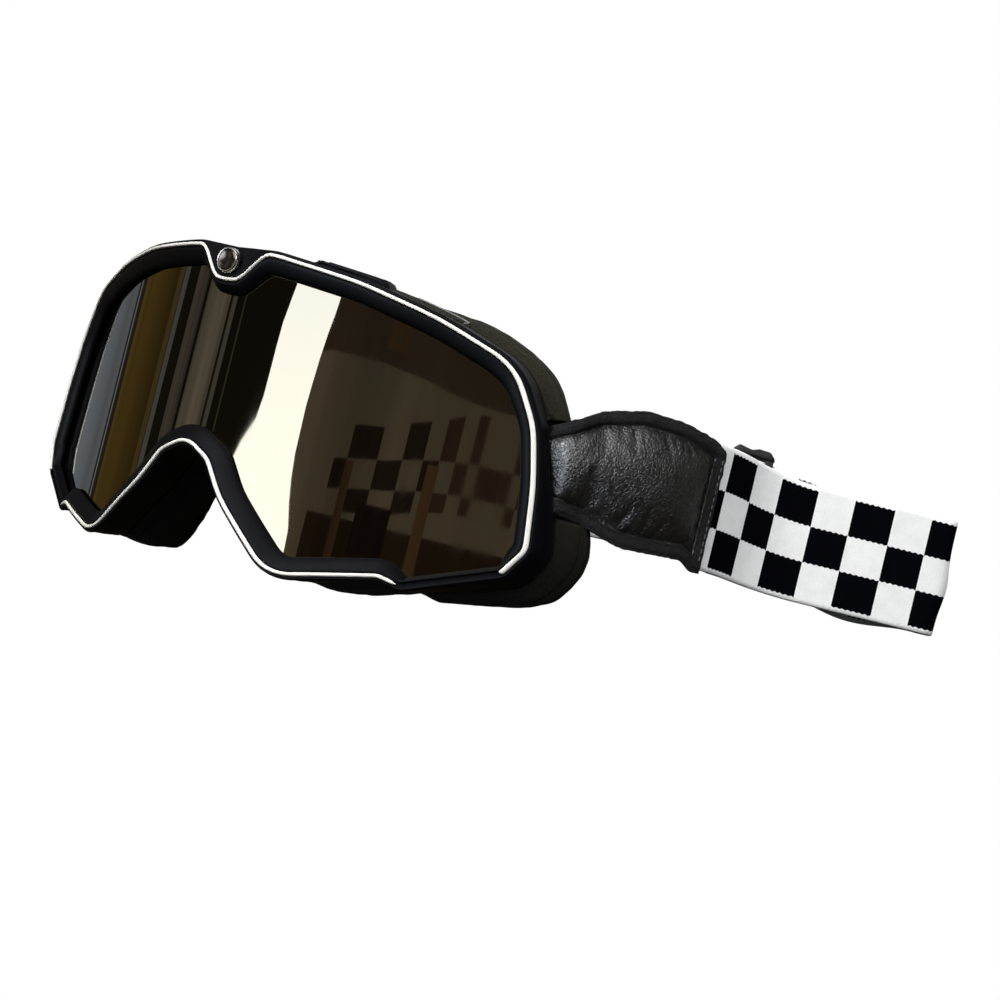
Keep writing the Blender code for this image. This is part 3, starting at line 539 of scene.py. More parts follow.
def lens_inside_material():
    """The uncoated inner face: dark smoke, glossy, with faint haze."""
    made, tree, shader, where = surface("lens_smoke", 0.06, Specular_IOR_Level=0.5)
    haze = noise_at(tree, where, 0.1, 5.0, 0.7)
    drive(tree, shader, "Base Color", (haze, "Fac"),
          [(0.3, (0.006, 0.005, 0.004)), (0.75, (0.012, 0.010, 0.008))])
    drive(tree, shader, "Roughness", (haze, "Fac"), [(0.4, 0.05), (0.8, 0.16)])
    return made


def metal_material(name, colour, roughness):
    made, tree, shader, where = surface(name, roughness, 1.0)
    brushed = noise_at(tree, where, 1.6, 5.0, 0.7)
    stain = noise_at(tree, where, 0.5, 3.0)
    dark = tuple(c * 0.6 for c in colour)
    drive(tree, shader, "Base Color", (stain, "Fac"), [(0.35, dark), (0.65, colour)])
    drive(tree, shader, "Roughness", (brushed, "Fac"), [(0.3, roughness - 0.06), (0.7, roughness + 0.1)])
    bump(tree, shader, [((brushed, "Fac"), 0.1, 0.05)])
    return made


def foam_material(name, low, high, grain):
    """Open-cell foam with a short felted skin; the colour is scaled darker towards the bottom as painted
    shade.
    """
    made, tree, shader, where = surface(name, 1.0, Sheen_Weight=0.05, Sheen_Roughness=0.6,
                                        Specular_IOR_Level=0.1)
    shader.inputs["Sheen Tint"].default_value = (0.62, 0.60, 0.48, 1.0)
    cells = node(tree, "TexVoronoi", {"Vector": where, "Scale": grain})
    felt = noise_at(tree, where, grain * 0.8, 8.0, 0.75)
    tone = ramp(tree, (felt, "Fac"), [(0.3, low), (0.75, high)])
    # Painted shade: the tone is scaled down with height, darker towards the bottom, for the shade under the
    # goggles.
    split = node(tree, "SeparateXYZ", {"Vector": where})
    tall = node(tree, "MapRange", {"Value": (split, "Z"), "From Min": 14.0, "From Max": 62.0,
                                   "To Min": 0.13, "To Max": 1.25})
    pale_edges_and_painted_shade = node(tree, "VectorMath", {0: (tone, "Color"), "Scale": (tall, "Result")}, operation='SCALE')
    tree.links.new(pale_edges_and_painted_shade.outputs["Vector"], shader.inputs["Base Color"])
    bump(tree, shader, [((felt, "Fac"), 0.8, 0.5), ((cells, "Distance"), 0.5, 0.25)])
    return made


def leather_material(name, lift=1.0):
    """Black pebble-grain leather: cells in relief, creases between them; base colour darker in the creases as
    painted shade and paler on the high spots as painted highlight.
    """
    made, tree, shader, where = surface(name, 0.5, Specular_IOR_Level=0.8)
    wander = noise_at(tree, where, 0.6, 3.0)
    warp = node(tree, "VectorMath", {0: (wander, "Color"), 1: (0.45, 0.45, 0.45)}, operation='MULTIPLY')
    moved = node(tree, "VectorMath", {0: where, 1: (warp, "Vector")}, operation='ADD')
    cells = node(tree, "TexVoronoi", {"Vector": (moved, "Vector"), "Scale": 0.92}, feature='DISTANCE_TO_EDGE')
    pores = node(tree, "TexVoronoi", {"Vector": (moved, "Vector"), "Scale": 2.1}, feature='DISTANCE_TO_EDGE')
    crease = noise_at(tree, (moved, "Vector"), 0.42, 7.0, 0.68, (1.0, 1.0, 0.6))
    fold = ramp(tree, (crease, "Fac"), [(0.44, 1.0), (0.50, 0.0), (0.56, 1.0)])
    pebble = ramp(tree, (cells, "Distance"), [(0.0, 0.0), (0.28, 1.0)])
    pore = ramp(tree, (pores, "Distance"), [(0.0, 0.0), (0.2, 1.0)])
    # Painted shade and highlight: the base colour is darkest at the cell edges and palest on the raised cell
    # tops.
    drive(tree, shader, "Base Color", (cells, "Distance"),
          [(0.0, (0.002, 0.002, 0.0022)), (0.25, (0.0085, 0.0088, 0.0095))])
    drive(tree, shader, "Roughness", (crease, "Fac"), [(0.3, 0.30), (0.7, 0.44)])
    bump(tree, shader, [((fold, "Color"), 0.28 * lift, 0.30), ((pebble, "Color"), 0.5 * lift, 0.20),
                        ((pore, "Color"), 0.2 * lift, 0.08)])
    return made


def border_material():
    """The turned edge of the leather: rubbed, duller and finer in grain than the pad, with short nap."""
    made, tree, shader, where = surface("leather_edge", 0.6, Specular_IOR_Level=0.24)
    nap = noise_at(tree, where, 2.6, 8.0, 0.75)
    lumps = noise_at(tree, where, 0.8, 4.0)
    cells = node(tree, "TexVoronoi", {"Vector": where, "Scale": 1.7}, feature='DISTANCE_TO_EDGE')
    pebble = ramp(tree, (cells, "Distance"), [(0.0, 0.0), (0.22, 1.0)])
    drive(tree, shader, "Base Color", (nap, "Fac"),
          [(0.3, (0.0008, 0.0008, 0.0009)), (0.75, (0.008, 0.0082, 0.009))])
    bump(tree, shader, [((lumps, "Fac"), 0.6, 0.5), ((pebble, "Color"), 0.9, 0.28), ((nap, "Fac"), 0.7, 0.2)])
    return made


def elastic_material(name, low, high, shine):
    """Ribbed elastic webbing: weft ribs across its run, fuzz, and a slight mottling of the yarn."""
    made, tree, shader, where = surface(name, 0.9, Specular_IOR_Level=shine, Sheen_Weight=0.04 * shine,
                                        Sheen_Roughness=0.5)
    split = node(tree, "UVMap")
    ribs = node(tree, "TexWave", {"Vector": (split, "UV"), "Scale": 0.44, "Distortion": 1.2,
                                  "Detail": 2.0, "Detail Scale": 2.0}, bands_direction='X')
    rows = node(tree, "TexWave", {"Vector": (split, "UV"), "Scale": 0.62, "Distortion": 0.8,
                                  "Detail": 1.0}, bands_direction='Y')
    fuzz = noise_at(tree, where, 3.6, 7.0, 0.72)
    broad = noise_at(tree, where, 0.3, 4.0)
    tone = ramp(tree, (fuzz, "Fac"), [(0.25, low), (0.6, high)])
    shade = ramp(tree, (broad, "Fac"), [(0.3, 0.93), (0.65, 1.0)])
    mixed = node(tree, "MixRGB", {"Fac": 1.0, "Color1": (tone, "Color"), "Color2": (shade, "Color")},
                 blend_type='MULTIPLY')
    tree.links.new(mixed.outputs["Color"], shader.inputs["Base Color"])
    bump(tree, shader, [((ribs, "Color"), 0.3, 0.12), ((rows, "Color"), 0.22, 0.08),
                        ((fuzz, "Fac"), 0.35, 0.10)])
    return made


def thread_material():
    made, tree, shader, where = surface("thread_grey", 0.7, Sheen_Weight=0.2)
    twist = noise_at(tree, where, 4.0, 3.0)
    drive(tree, shader, "Base Color", (twist, "Fac"),
          [(0.35, (0.05, 0.05, 0.052)), (0.7, (0.16, 0.16, 0.165))])
    bump(tree, shader, [((twist, "Fac"), 0.4, 0.08)])
    return made


RUBBER = rubber_material("frame_rubber", (0.0014, 0.0016, 0.0025), (0.0026, 0.0028, 0.0040), 0.52, 0.05)
DARK_RUBBER = rubber_material("buckle_plastic", (0.0018, 0.0018, 0.0021), (0.0038, 0.0038, 0.0042), 0.36, 0.2)
# The slot rim's pale grey is a painted highlight for the light caught along its rear edge.
SLOT_RIM_PAINTED_HIGHLIGHT = rubber_material("slot_rim_painted_highlight", (0.16, 0.16, 0.165), (0.30, 0.30, 0.30), 0.45, 0.5)
PIPING = piping_material()
LENS = lens_material()
LENS_INSIDE = lens_inside_material()
BRONZE = metal_material("rivet_metal", (0.055, 0.050, 0.042), 0.20)
BRIGHT = metal_material("rivet_rim", (0.50, 0.48, 0.44), 0.24)
WIRE = metal_material("hinge_wire", (0.30, 0.30, 0.31), 0.32)
FOAM = foam_material("face_foam", (0.0045, 0.0045, 0.0028), (0.021, 0.020, 0.0135), 2.2)
SOFT_FOAM = foam_material("soft_foam", (0.004, 0.004, 0.0026), (0.018, 0.0175, 0.012), 2.0)
FLEECE_SKIN = foam_material("fleece", (0.0035, 0.0035, 0.0025), (0.014, 0.0135, 0.010), 3.0)
LEATHER = leather_material("leather_black")
LINING = leather_material("leather_lining", 0.5)
LEATHER_BORDER = border_material()
THREAD = thread_material()
YARN_WHITE = elastic_material("elastic_white", (0.74, 0.75, 0.765), (0.87, 0.88, 0.89), 0.3)
YARN_BLACK = elastic_material("elastic_black", (0.0003, 0.0004, 0.0009), (0.0010, 0.0012, 0.0024), 0.02)


# ---------------------------------------------------------------- frame

def scoop_height(x):
    low, high = SCOOP_VENT
    return SCOOP_RISE * blend_step(abs(x), low - 2.5, low) * (1 - blend_step(abs(x), high, high + 2.5))


def frame_section(index):
    """Closed section of the moulding, from the lens edge of the lip round to the lens seat."""
    x, z = OUTLINE[index]
    lip = lip_width(x, z)
    flare = flare_at(FRAME_FLARE, x, z)
    back = frame_back(x, z)
    scoop = scoop_height(x) if z > 0 else 0.0
    groove = PIPING_HALF + 0.18
    inner = INNER_DIP
    seat = -SEAT_SHARE * lip
    corners = [
        (-lip, LIP_DEPTH + 0.3, inner), (-lip + 0.5, LIP_DEPTH - 0.5, inner),
        (-0.5 * lip - 0.4, 0.75, 0.9), (-groove - 0.5, 0.12, 1.0), (-groove, 0.25, 1.0),
        (-groove, GROOVE_DEPTH, 1.0), (groove, GROOVE_DEPTH, 1.0), (groove, 0.3, 1.0),
        (groove + 0.35, 0.3, 0.75), (1.5, 1.1, 0.0), (0.9 + 0.4 * flare, 2.6, 0.0),
        (0.7 + 0.5 * flare, 0.55 * back, 0.0), (0.5 + 0.6 * flare + scoop, 0.64 * back, 0.0),
        (flare + scoop, back - 0.5, 0.0), (flare + scoop - 0.7, back, 0.0),
        (at_temple(SHELF, x), frame_inner_back(x, z), 0.0),
        (at_temple(FLANGE, x), REAR_LIP + 0.6, 0.0), (-lip + 0.5, REAR_LIP, inner),
        (-lip + 0.5, LENS_BACK + LENS_PLAY, inner), (seat, LENS_BACK + LENS_PLAY, inner),
        (seat, LENS_FRONT - LENS_PLAY, inner), (-lip, LENS_FRONT - LENS_PLAY, inner),
    ]
    radii = [0.25, 0.6, 0.9, 0.35, 0.12, 0.1, 0.1, 0.12, 0.12, 0.9, 0.9,
             0.8, 0.8, 0.4, 0.4, 0.5, 0.3, 0.2, 0.2, 0.2, 0.2, 0.15]
    return [ring_point(index, *p) for p in round_section(corners, radii, 2)]


def wall_box(name, x_range, depths, offsets, side):
    """A curved helper solid that follows the top wall between two x values."""
    corners = [(0, 0), (0, 1), (1, 1), (1, 0)]
    rows = [[brow_point(side, x, depths[i], offsets[j]) for i, j in corners] for x in spread(*x_range, 12)]
    return sweep(name, rows, RUBBER, None, closed=False)


def build_frame():
    rows = [frame_section(i) for i in range(len(OUTLINE))]
    frame_shell = sweep("frame_shell", rows, RUBBER, None)
    tools = []
    for side, word in ((1, "left"), (-1, "right")):
        tools.append(wall_box("scoop_" + word, SCOOP_VENT, (7.7, 11.6), (-3.2, 8.0), side))
        tools.append(wall_box("slot_" + word, SLOT_VENT, (6.9, 8.5), (-3.0, 8.0), side))
    cut_with(frame_shell, tools)
    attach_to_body(frame_shell, "goggle_frame")
    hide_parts("frame")
    for side, word in ((1, "left"), (-1, "right")):
        build_vent_rims(side, word)


def wall_line(side, x_range, depth, offset, count=20):
    """Points along the top wall at a depth behind the front and an offset above the rim line."""
    return [brow_point(side, x, depth, offset) for x in spread(*x_range, count)]


def build_vent_rims(side, word):
    """The thin raised edges behind the slot and over the scoop; the slot's edge is coloured pale as a painted
    highlight.
    """
    low, high = SLOT_VENT
    rear = wall_line(side, (low, high), 8.9, 2.35)
    hook = wall_line(side, (high, high + 0.5), 8.9, 2.35, 2)[1:]
    hook += wall_line(side, (high + 0.6, high + 0.7), 8.0, 2.1, 1)
    hook += wall_line(side, (high + 0.4, high + 0.5), 6.9, 1.6, 1)
    # Painted highlight: the pale rim colour stands in for the light along the slot's rear edge.
    rim = tube(f"slot_rim_{word}", rear + hook, 0.24, SLOT_RIM_PAINTED_HIGHLIGHT, "goggle_frame", sides=8)
    low, high = SCOOP_VENT
    brow = tube(f"scoop_rim_{word}", wall_line(side, (low, high), 7.6, 2.35), 0.3, RUBBER,
                "goggle_frame", sides=8)


# ---------------------------------------------------------------- piping, lens, rivet

def build_piping():
    """The two beads: over the brow and down both sides, and under the lens and nose."""
    count = len(OUTLINE)
    high, low = (min(range(count), key=lambda i: (OUTLINE[i] - Vector(end)).length) for end in PIPING_ENDS)
    spans = {"upper_piping": [i % count for i in range(count - high, count + high + 1)],
             "lower_piping": list(range(low, count - low + 1))}
    turns = [2 * math.pi * j / 12 for j in range(12)]
    for word, span in spans.items():
        rows = []
        for k, index in enumerate(span):
            end = min(k, len(span) - 1 - k)
            size = math.sqrt(1.0 - (1.0 - min(end, 2) / 2) ** 2) * 0.85 + 0.15
            rows.append([ring_point(index, PIPING_HALF * math.cos(t) * size,
                                    0.05 + PIPING_RISE * math.sin(t) * size, 1.0) for t in turns])
        bead = sweep("piping_" + word.split("_")[0], rows, PIPING, "goggle_frame", closed=False)
        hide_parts(word)


def build_lens():
    """One curved sheet with a fine grid on both faces: mirror outside, smoke inside."""
    edge = []
    for i, station in enumerate(OUTLINE[:len(half_outline())]):
        point = ring_point(i, -SEAT_SHARE * lip_width(station.x, station.y) - 0.35, 0.0, INNER_DIP)
        edge.append((point.x, point.z))
    tip = max(range(len(edge)), key=lambda i: edge[i][0])
    brow = edge[:tip + 1]
    under = list(reversed(edge[tip:]))
    reach = edge[tip][0] - 0.15
    columns = 170
    tall = 20
    points = []
    for k in range(columns + 1):
        x = reach * math.sin(math.pi * (k / columns - 0.5))
        top = outline_value(brow, abs(x))
        bottom = outline_value(under, abs(x))
        for face, j in there_and_back(tall + 1):
            depth = LENS_FRONT if face < 0 else LENS_BACK
            points.append(Vector((x, front_depth(x) + depth, bottom + (top - bottom) * j / tall)))
    looks = ([0] * (tall + 1) + [1] * tall + [0]) * columns + [0] * (2 * tall)
    glass = make("lens_sheet", points, slab_faces(columns + 1, tall), [LENS, LENS_INSIDE],
                 "goggle_frame", looks, smooth=30.0)
    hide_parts("lens")


def build_rivet():
    """A snap cap in the notch: bright rolled rim round a dished bronze face."""
    centre = (0.0, -0.75, RIVET_Z)
    dish = [(0.0, -0.55), (0.8, -0.58), (1.5, -0.68), (2.1, -0.86), (2.5, -1.0), (2.72, -0.86),
            (2.7, 0.1), (0.0, 0.1)]
    roll = [(0.0, 0.0), (2.74, 0.0), (2.76, -0.75), (2.9, -0.98), (3.1, -1.02), (3.3, -0.85),
            (3.42, -0.5), (3.42, 0.55), (0.0, 0.55)]
    for name, profile, finish, cad in (("rivet_face", dish, BRONZE, "rivet_cap"),
                                       ("rivet_ring", roll, BRIGHT, "rivet_collar")):
        piece = turned(name, profile, centre, finish, "goggle_frame")
        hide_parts(cad)


# ---------------------------------------------------------------- foam

def relieved(point):
    """Hold the foam back beside the hinge, at the heights where the leather's root swings."""
    free = HALF_WIDTH + 8.0
    limit = free + (NECK_X - free) * neck_share(point.z)
    beyond = abs(point.x) - limit
    if beyond <= 0.0:
        return point
    x = math.copysign(limit, point.x)
    return Vector((x, point.y + front_depth(x) - front_depth(point.x), point.z))


def smooth_rows(rows, reach):
    """Round the layer's corners by averaging along the rim with a bell-shaped weight."""
    stack = np.array([[tuple(p) for p in row] for row in rows])
    weights = {k: math.exp(-(k / reach) ** 2) for k in range(-2 * reach, 2 * reach + 1)}
    mixed = sum(w * np.roll(stack, k, axis=0) for k, w in weights.items())
    return [[Vector(p) for p in row] for row in mixed / sum(weights.values())]


def foam_ring(name, node_name, front, back, outer, finish, tail):
    """A foam layer; front holds its (inner, outer) depths, outer(t, x, z) is the skin's offset."""
    rows = []
    steps = 7
    for i, station in enumerate(OUTLINE):
        x, z = station.x, station.y
        inner = -4.6 - 1.9 * blend_step(abs(x), 66.0, 80.0)
        start = front[1](x, z)
        end = back(x, z)
        skin = [(outer(t, x, z), start + (end - start) * t, 0.0) for t in spread(0.0, 1.0, steps)]
        corners = [(inner, front[0](x, z), 0.0), (inner, end, 0.0)] + list(reversed(skin))
        if front[0] is not front[1]:
            corners.append((at_temple(SHELF, x), front[0](x, z), 0.0))
        radii = [0.3, tail, tail] + [0.0] * (steps - 1) + [0.25, 0.25]
        rows.append([ring_point(i, *p) for p in round_section(corners, radii, 4)])
    rows = [[relieved(p) for p in row] for row in smooth_rows(rows, 4)]
    rows = [[p + noise.noise_vector(p * 0.35) * 0.2 for p in row] for row in rows]
    ring = sweep(name, rows, finish, "goggle_frame", smooth=80.0)
    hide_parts(node_name)
    return rows


def build_foam():
    def base_inner(x, z):
        return frame_inner_back(x, z) + 0.5

    def base_outer(x, z):
        tucked = neck_share(z) * blend_step(abs(x), 60.0, 70.0)
        return frame_back(x, z) + 0.3 + tucked * (frame_inner_back(x, z) - frame_back(x, z))

    def base_end(x, z):
        return frame_inner_back(x, z) + BASE_FOAM

    def soft_start(x, z):
        return base_end(x, z) + 0.12

    def soft_end(x, z):
        return foam_back(x, z) - FLEECE - 0.12

    def fleece_start(x, z):
        return foam_back(x, z) - FLEECE

    def base_skin(t, x, z):
        first = flare_at(FRAME_FLARE, x, z) + 0.1
        return first + (flare_at(BASE_FLARE, x, z) - first) * math.sin(0.5 * math.pi * t)

    def soft_skin(t, x, z):
        first, last = flare_at(BASE_FLARE, x, z), flare_at(SOFT_FLARE, x, z)
        return first + (last - first) * t + 0.9 * math.sin(math.pi * t) * (1.0 - 0.4 * t)

    def fleece_skin(t, x, z):
        first, last = flare_at(SOFT_FLARE, x, z), flare_at(FLEECE_FLARE, x, z)
        return first + (last - first) * t * t

    base = foam_ring("foam_base", "face_foam_base", (base_inner, base_outer), base_end, base_skin,
                     FOAM, 0.2)
    soft = foam_ring("foam_soft", "face_foam_soft", (soft_start, soft_start), soft_end, soft_skin,
                     SOFT_FOAM, 0.2)
    skin = foam_ring("foam_fleece", "face_fleece", (fleece_start, fleece_start), foam_back, fleece_skin,
                     FLEECE_SKIN, 1.3)
    build_fuzz("foam_base_nap", base, FOAM, 6000, 0.6, 7)
    build_fuzz("foam_soft_nap", soft, FOAM, 7000, 0.6, 8)
    build_fuzz("fleece_nap", skin, FLEECE_SKIN, 6000, 0.65, 9)


def build_fuzz(name, rows, finish, count, length, seed):
    """Short fibres standing off a foam's surface, each a thin blade."""
    draw = random.Random(seed)
    points = []
    faces = []
    half = 0.035
    while len(faces) < count:
        i = draw.randrange(len(rows) - 1)
        k = draw.randrange(len(rows[i]) - 1)
        a, b, c = rows[i][k], rows[i][k + 1], rows[i + 1][k]
        normal = (c - a).cross(b - a)
        if normal.length < 0.01:
            continue
        normal.normalize()
        root = a + (b - a) * draw.random() + (c - a) * draw.random()
        lean = Vector((draw.uniform(-1, 1), draw.uniform(-1, 1), draw.uniform(-1, 1))) * 0.6
        tip = root + (normal + lean).normalized() * (length * draw.uniform(0.35, 1.0))
        across = (tip - root).cross(lean).normalized() * half
        base = len(points)
        points += [root - across, root + across, tip]
        faces.append((base, base + 1, base + 2))
    nap = make(name, points, faces, [finish], "goggle_frame")


# ---------------------------------------------------------------- plan paths

def bezier(start, first, second, end, count):
    steps = [k / count for k in range(count + 1)]
    return [start * (1 - t) ** 3 + first * (3 * (1 - t) ** 2 * t) + second * (3 * (1 - t) * t * t)
            + end * t ** 3 for t in steps]


def heading(degrees):
    return Vector((math.cos(math.radians(degrees)), math.sin(math.radians(degrees))))


def outrigger_path(side, count=80):
    """Centre line of one outrigger in plan, from its hinge to its strap seam."""
    start = Vector((side * HINGE_X, HINGE_Y))
    end = start + REACH
    if side > 0:
        return bezier(start, start + heading(52.0) * 16.0, end - heading(LEFT_END) * 14.0, end, count)
    return bezier(start, start + heading(96.0) * 26.0, end - heading(RIGHT_END) * 16.0, end, count)


def arc_run(points, degrees, length, turn, pieces):
    step = length / pieces
    for _ in range(pieces):
        degrees += 0.5 * turn / pieces
        points.append(points[-1] + heading(degrees) * step)
        degrees += 0.5 * turn / pieces
    return degrees


def strap_path():
    """The elastic's plan points, the rise of each, the fold's first and last, the heading after it."""
    seam = Vector((HINGE_X, HINGE_Y)) + REACH
    points = [seam + heading(LEFT_END) * 0.2]
    turn = arc_run(points, LEFT_END, FRONT_LEG + 1.4, 0.0, 12)
    turn = arc_run(points, turn, FRONT_BEND[0], FRONT_BEND[1], 20)
    turn = arc_run(points, turn, FRONT_RUN, 0.0, 36)
    fold_start = len(points) - 1
    turn = arc_run(points, turn, math.radians(FOLD_TURN) * FOLD_RADIUS, FOLD_TURN, 16)
    fold_end = len(points) - 1
    turn = arc_run(points, turn, RETURN_RUN, 0.0, 74)
    rise_end = len(points) - 1
    finish = Vector((-HINGE_X, HINGE_Y)) + REACH - heading(RIGHT_END) * 0.2
    start = points[-1]
    points += bezier(start, start + heading(turn) * 42.0, finish + heading(RIGHT_END) * 34.0, finish, 140)[1:]
    rises = []
    last = len(points) - 1
    for i in range(len(points)):
        if i <= fold_end:
            rises.append(0.0)
        elif i <= rise_end:
            run = RETURN_RUN * (i - fold_end) / (rise_end - fold_end)
            sag = RETURN_SAG[0] * math.sin(math.pi * min(run / RETURN_SAG[1], 1.0)) ** 2
            rises.append(RETURN_RISE * run - sag)
        else:
            t = (i - rise_end) / (last - rise_end)
            fall = (1.0 - blend_step(t, -0.18, 1.0)) / (1.0 - blend_step(0.0, -0.18, 1.0))
            arch = REAR_ARCH * math.sin(math.pi * min(t / 0.8, 1.0)) ** 2
            rises.append(RETURN_RISE * RETURN_RUN * fall + arch)
    return points, rises, fold_start, fold_end, turn


def plan_normals(path):
    normals = []
    for i in range(len(path)):
        along = path[min(i + 1, len(path) - 1)] - path[max(i - 1, 0)]
        normals.append(Vector((-along.y, along.x)).normalized())
    return normals


def run_lengths(path):
    lengths = [0.0]
    for a, b in zip(path, path[1:]):
        lengths.append(lengths[-1] + (b - a).length)
    return lengths


def outline_value(table, u):
    return float(np.interp(u, [t[0] for t in table], [t[1] for t in table]))


# ---------------------------------------------------------------- leather outriggers

BORDER = 3.5                   # width of the turned edge round the panel
LEATHER_THICK = 1.0
CROWN = 2.9
ROLL = 1.0                     # how far the turned edge stands proud
PANEL_ACROSS = 48
ROOT = 3.7                     # leather's outer face from the hinge axis
END_TRIM = 2.0                 # the left panel stops short of the seam, and the strap runs on under it
FLAP = (1.5, 5.2)              # reach of the root past the hinge towards the frame, low and high
FLAP_ROWS = 8
CLOTH_SCALE = 25.0             # the padding is inflated on an enlarged copy, where cloth is stable
CLOTH_FRAMES = 20
CLOTH_PRESSURE = 4.0
CLOTH_TRAVEL = 1.5             # most that the inflated leather may move, in millimetres


def smooth_value(table, u):
    """The table's value eased over a short stretch, so that the outline has no hard kinks."""
    return sum(outline_value(table, min(max(u + d, 0.0), 1.0)) for d in (-0.03, -0.015, 0.0, 0.015, 0.03)) / 5


def panel_height(along, across, span, total):
    """Height of the outer leather over its base: rolled border, stitched groove, then the pad."""
    side = min(across, span - across)
    near = min(side, total - along)
    roll = 0.0
    if near < BORDER:
        roll = ROLL * math.sqrt(max(0.0, 1.0 - ((near - 0.5 * BORDER) / (0.5 * BORDER)) ** 2))
    groove = -0.75 * math.exp(-((near - BORDER - 0.15) / 0.4) ** 2)
    inside = max(0.0, near - BORDER - 0.5)
    rise = (0.35 + 0.65 * blend_step(along, -2.0, 7.0)) * (1.0 - 0.5 * blend_step(along, 0.5 * total, total))
    pad = CROWN * rise * (1.0 - math.exp(-inside / 3.4))
    return roll + groove + pad


def panel_lines(side):
    """Path points of an outrigger, and normals turned away from the head."""
    path = outrigger_path(side)
    return path, [n * -side for n in plan_normals(path)]


def panel_edges(u):
    """Lower and upper edge of the leather at a share of its run."""
    return smooth_value(LEATHER_BOTTOM, u), smooth_value(LEATHER_TOP, u)


def eased_across(share, span):
    """A distance across the panel; the steps are finer towards both edges."""
    return span * (0.3 * (0.5 - 0.5 * math.cos(math.pi * share)) + 0.7 * share)


def flap_reach(z):
    """How far the root runs on towards the frame, whose side leans away from the hinge higher up."""
    return FLAP[0] + (FLAP[1] - FLAP[0]) * blend_step(z, -5.0, 15.0)


def panel_rows(side):
    """Rows of the outer panel as (plan point, step ahead, normal, run, share of the run, flap share)."""
    path, normals = panel_lines(side)
    lengths = run_lengths(path)
    ahead = (path[1] - path[0]).normalized()
    rows = []
    for k in range(FLAP_ROWS, 0, -1):
        rows.append((path[0], ahead * (-k / FLAP_ROWS), normals[0], -6.0 * k / FLAP_ROWS, 0.0, k / FLAP_ROWS))
    limit = lengths[-1] - (END_TRIM if side > 0 else 0.0)
    for i, point in enumerate(path):
        if lengths[i] <= limit:
            rows.append((point, Vector((0.0, 0.0)), normals[i], lengths[i], i / (len(path) - 1), 0.0))
    return rows, limit


def panel_point(row, z, offset):
    """A point of the panel at a height and a distance out from its base line."""
    base, back_step, normal, along, _, flap = row
    lift = (ROOT - LEATHER_THICK - 0.25) * (1.0 - blend_step(along, 0.0, 9.0)) * (1.0 - 0.8 * flap ** 1.5)
    plan = base + back_step * flap_reach(z) + normal * (offset + lift)
    return Vector((plan.x, plan.y, z - 0.55 * flap * flap_reach(z) * blend_step(z, 0.0, 12.0)))


def build_outer_panel(side, word):
    """The padded leather: a two-faced sheet, swollen as cloth inside its stitched border."""
    rows, total = panel_rows(side)
    base = 0.25
    points = []
    held = []
    looks = []
    across_count = PANEL_ACROSS + 1
    for row in rows:
        along, u = row[3], row[4]
        low, high = panel_edges(u)
        span = high - low
        front = []
        back = []
        for j in range(across_count):
            across = eased_across(j / PANEL_ACROSS, span)
            near = min(across, span - across, total - along)
            height = panel_height(along, across, span, total)
            z = low + across
            spot = Vector((row[0].x + along, row[0].y, z))
            height += noise.noise(spot * 0.5) * (0.22 if near < BORDER else 0.12)
            wave = noise.noise(spot * 0.35 + Vector((9.0, 0.0, 0.0))) * 0.3 * max(0.0, 1.0 - near / BORDER)
            rim = LEATHER_THICK * (0.35 if near < 0.05 else 1.0)
            front.append(panel_point(row, z + wave, base + rim + height))
            back.append(panel_point(row, z + wave, base))
            if near < BORDER + 0.7 or along < -5.0:
                held.append(len(points) + j)
        points += front + list(reversed(back))
        held += [len(points) - 1 - j for j in range(across_count)]
    for row in rows[:-1]:
        low, high = panel_edges(row[4])
        span = high - low
        for k in range(2 * across_count):
            across = eased_across(min((k + 0.5) / PANEL_ACROSS, 1.0), span)
            border = k >= PANEL_ACROSS or min(across, span - across, total - row[3]) < BORDER
            looks.append(int(border))
    looks += [1] * (2 * PANEL_ACROSS)
    panel = make(f"{word}_leather_panel", points, slab_faces(len(rows), PANEL_ACROSS),
                 [LEATHER, LEATHER_BORDER], None, looks, smooth=75.0)
    inflate(panel, held)
    finer = panel.modifiers.new("finer", 'SUBSURF')
    finer.levels = 1
    finer.render_levels = 1
    apply_modifiers(panel)
    panel.data.shade_smooth()
    attach(panel, f"{word}_outrigger")
    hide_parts(f"{word}_leather_top", f"{word}_leather_pad")


def inflate(item, held):
    """Swell a closed panel as cloth, its edge and back held, so that the leather puckers at the seam."""
    mesh = item.data
    rest = [vertex.co.copy() for vertex in mesh.vertices]
    centre = sum(rest, Vector()) / len(rest)
    for vertex in mesh.vertices:
        vertex.co = (vertex.co - centre) * CLOTH_SCALE
    pins = item.vertex_groups.new(name="held")
    pins.add(held, 1.0, 'REPLACE')
    cloth = item.modifiers.new("padding", 'CLOTH')
    settings = cloth.settings
    settings.quality = 6
    settings.mass = 0.3
    settings.tension_stiffness = 10.0
    settings.compression_stiffness = 10.0
    settings.shear_stiffness = 5.0
    settings.bending_stiffness = 6.0
    settings.use_pressure = True
    settings.uniform_pressure_force = CLOTH_PRESSURE
    settings.vertex_group_mass = "held"
    settings.shrink_min = -0.022
    settings.effector_weights.gravity = 0.0
    cloth.point_cache.frame_start = 1
    cloth.point_cache.frame_end = CLOTH_FRAMES
    scene = bpy.context.scene
    for step in range(1, CLOTH_FRAMES + 1):
        scene.frame_set(step)
    graph = bpy.context.evaluated_depsgraph_get()
    settled = [vertex.co.copy() for vertex in item.evaluated_get(graph).data.vertices]
    item.modifiers.clear()
    scene.frame_set(1)
    item.vertex_groups.clear()
    most = CLOTH_TRAVEL * MM
    for vertex, before, after in zip(item.data.vertices, rest, settled):
        move = after / CLOTH_SCALE + centre - before
        if move.length > most:
            move *= most / move.length
        vertex.co = before + move


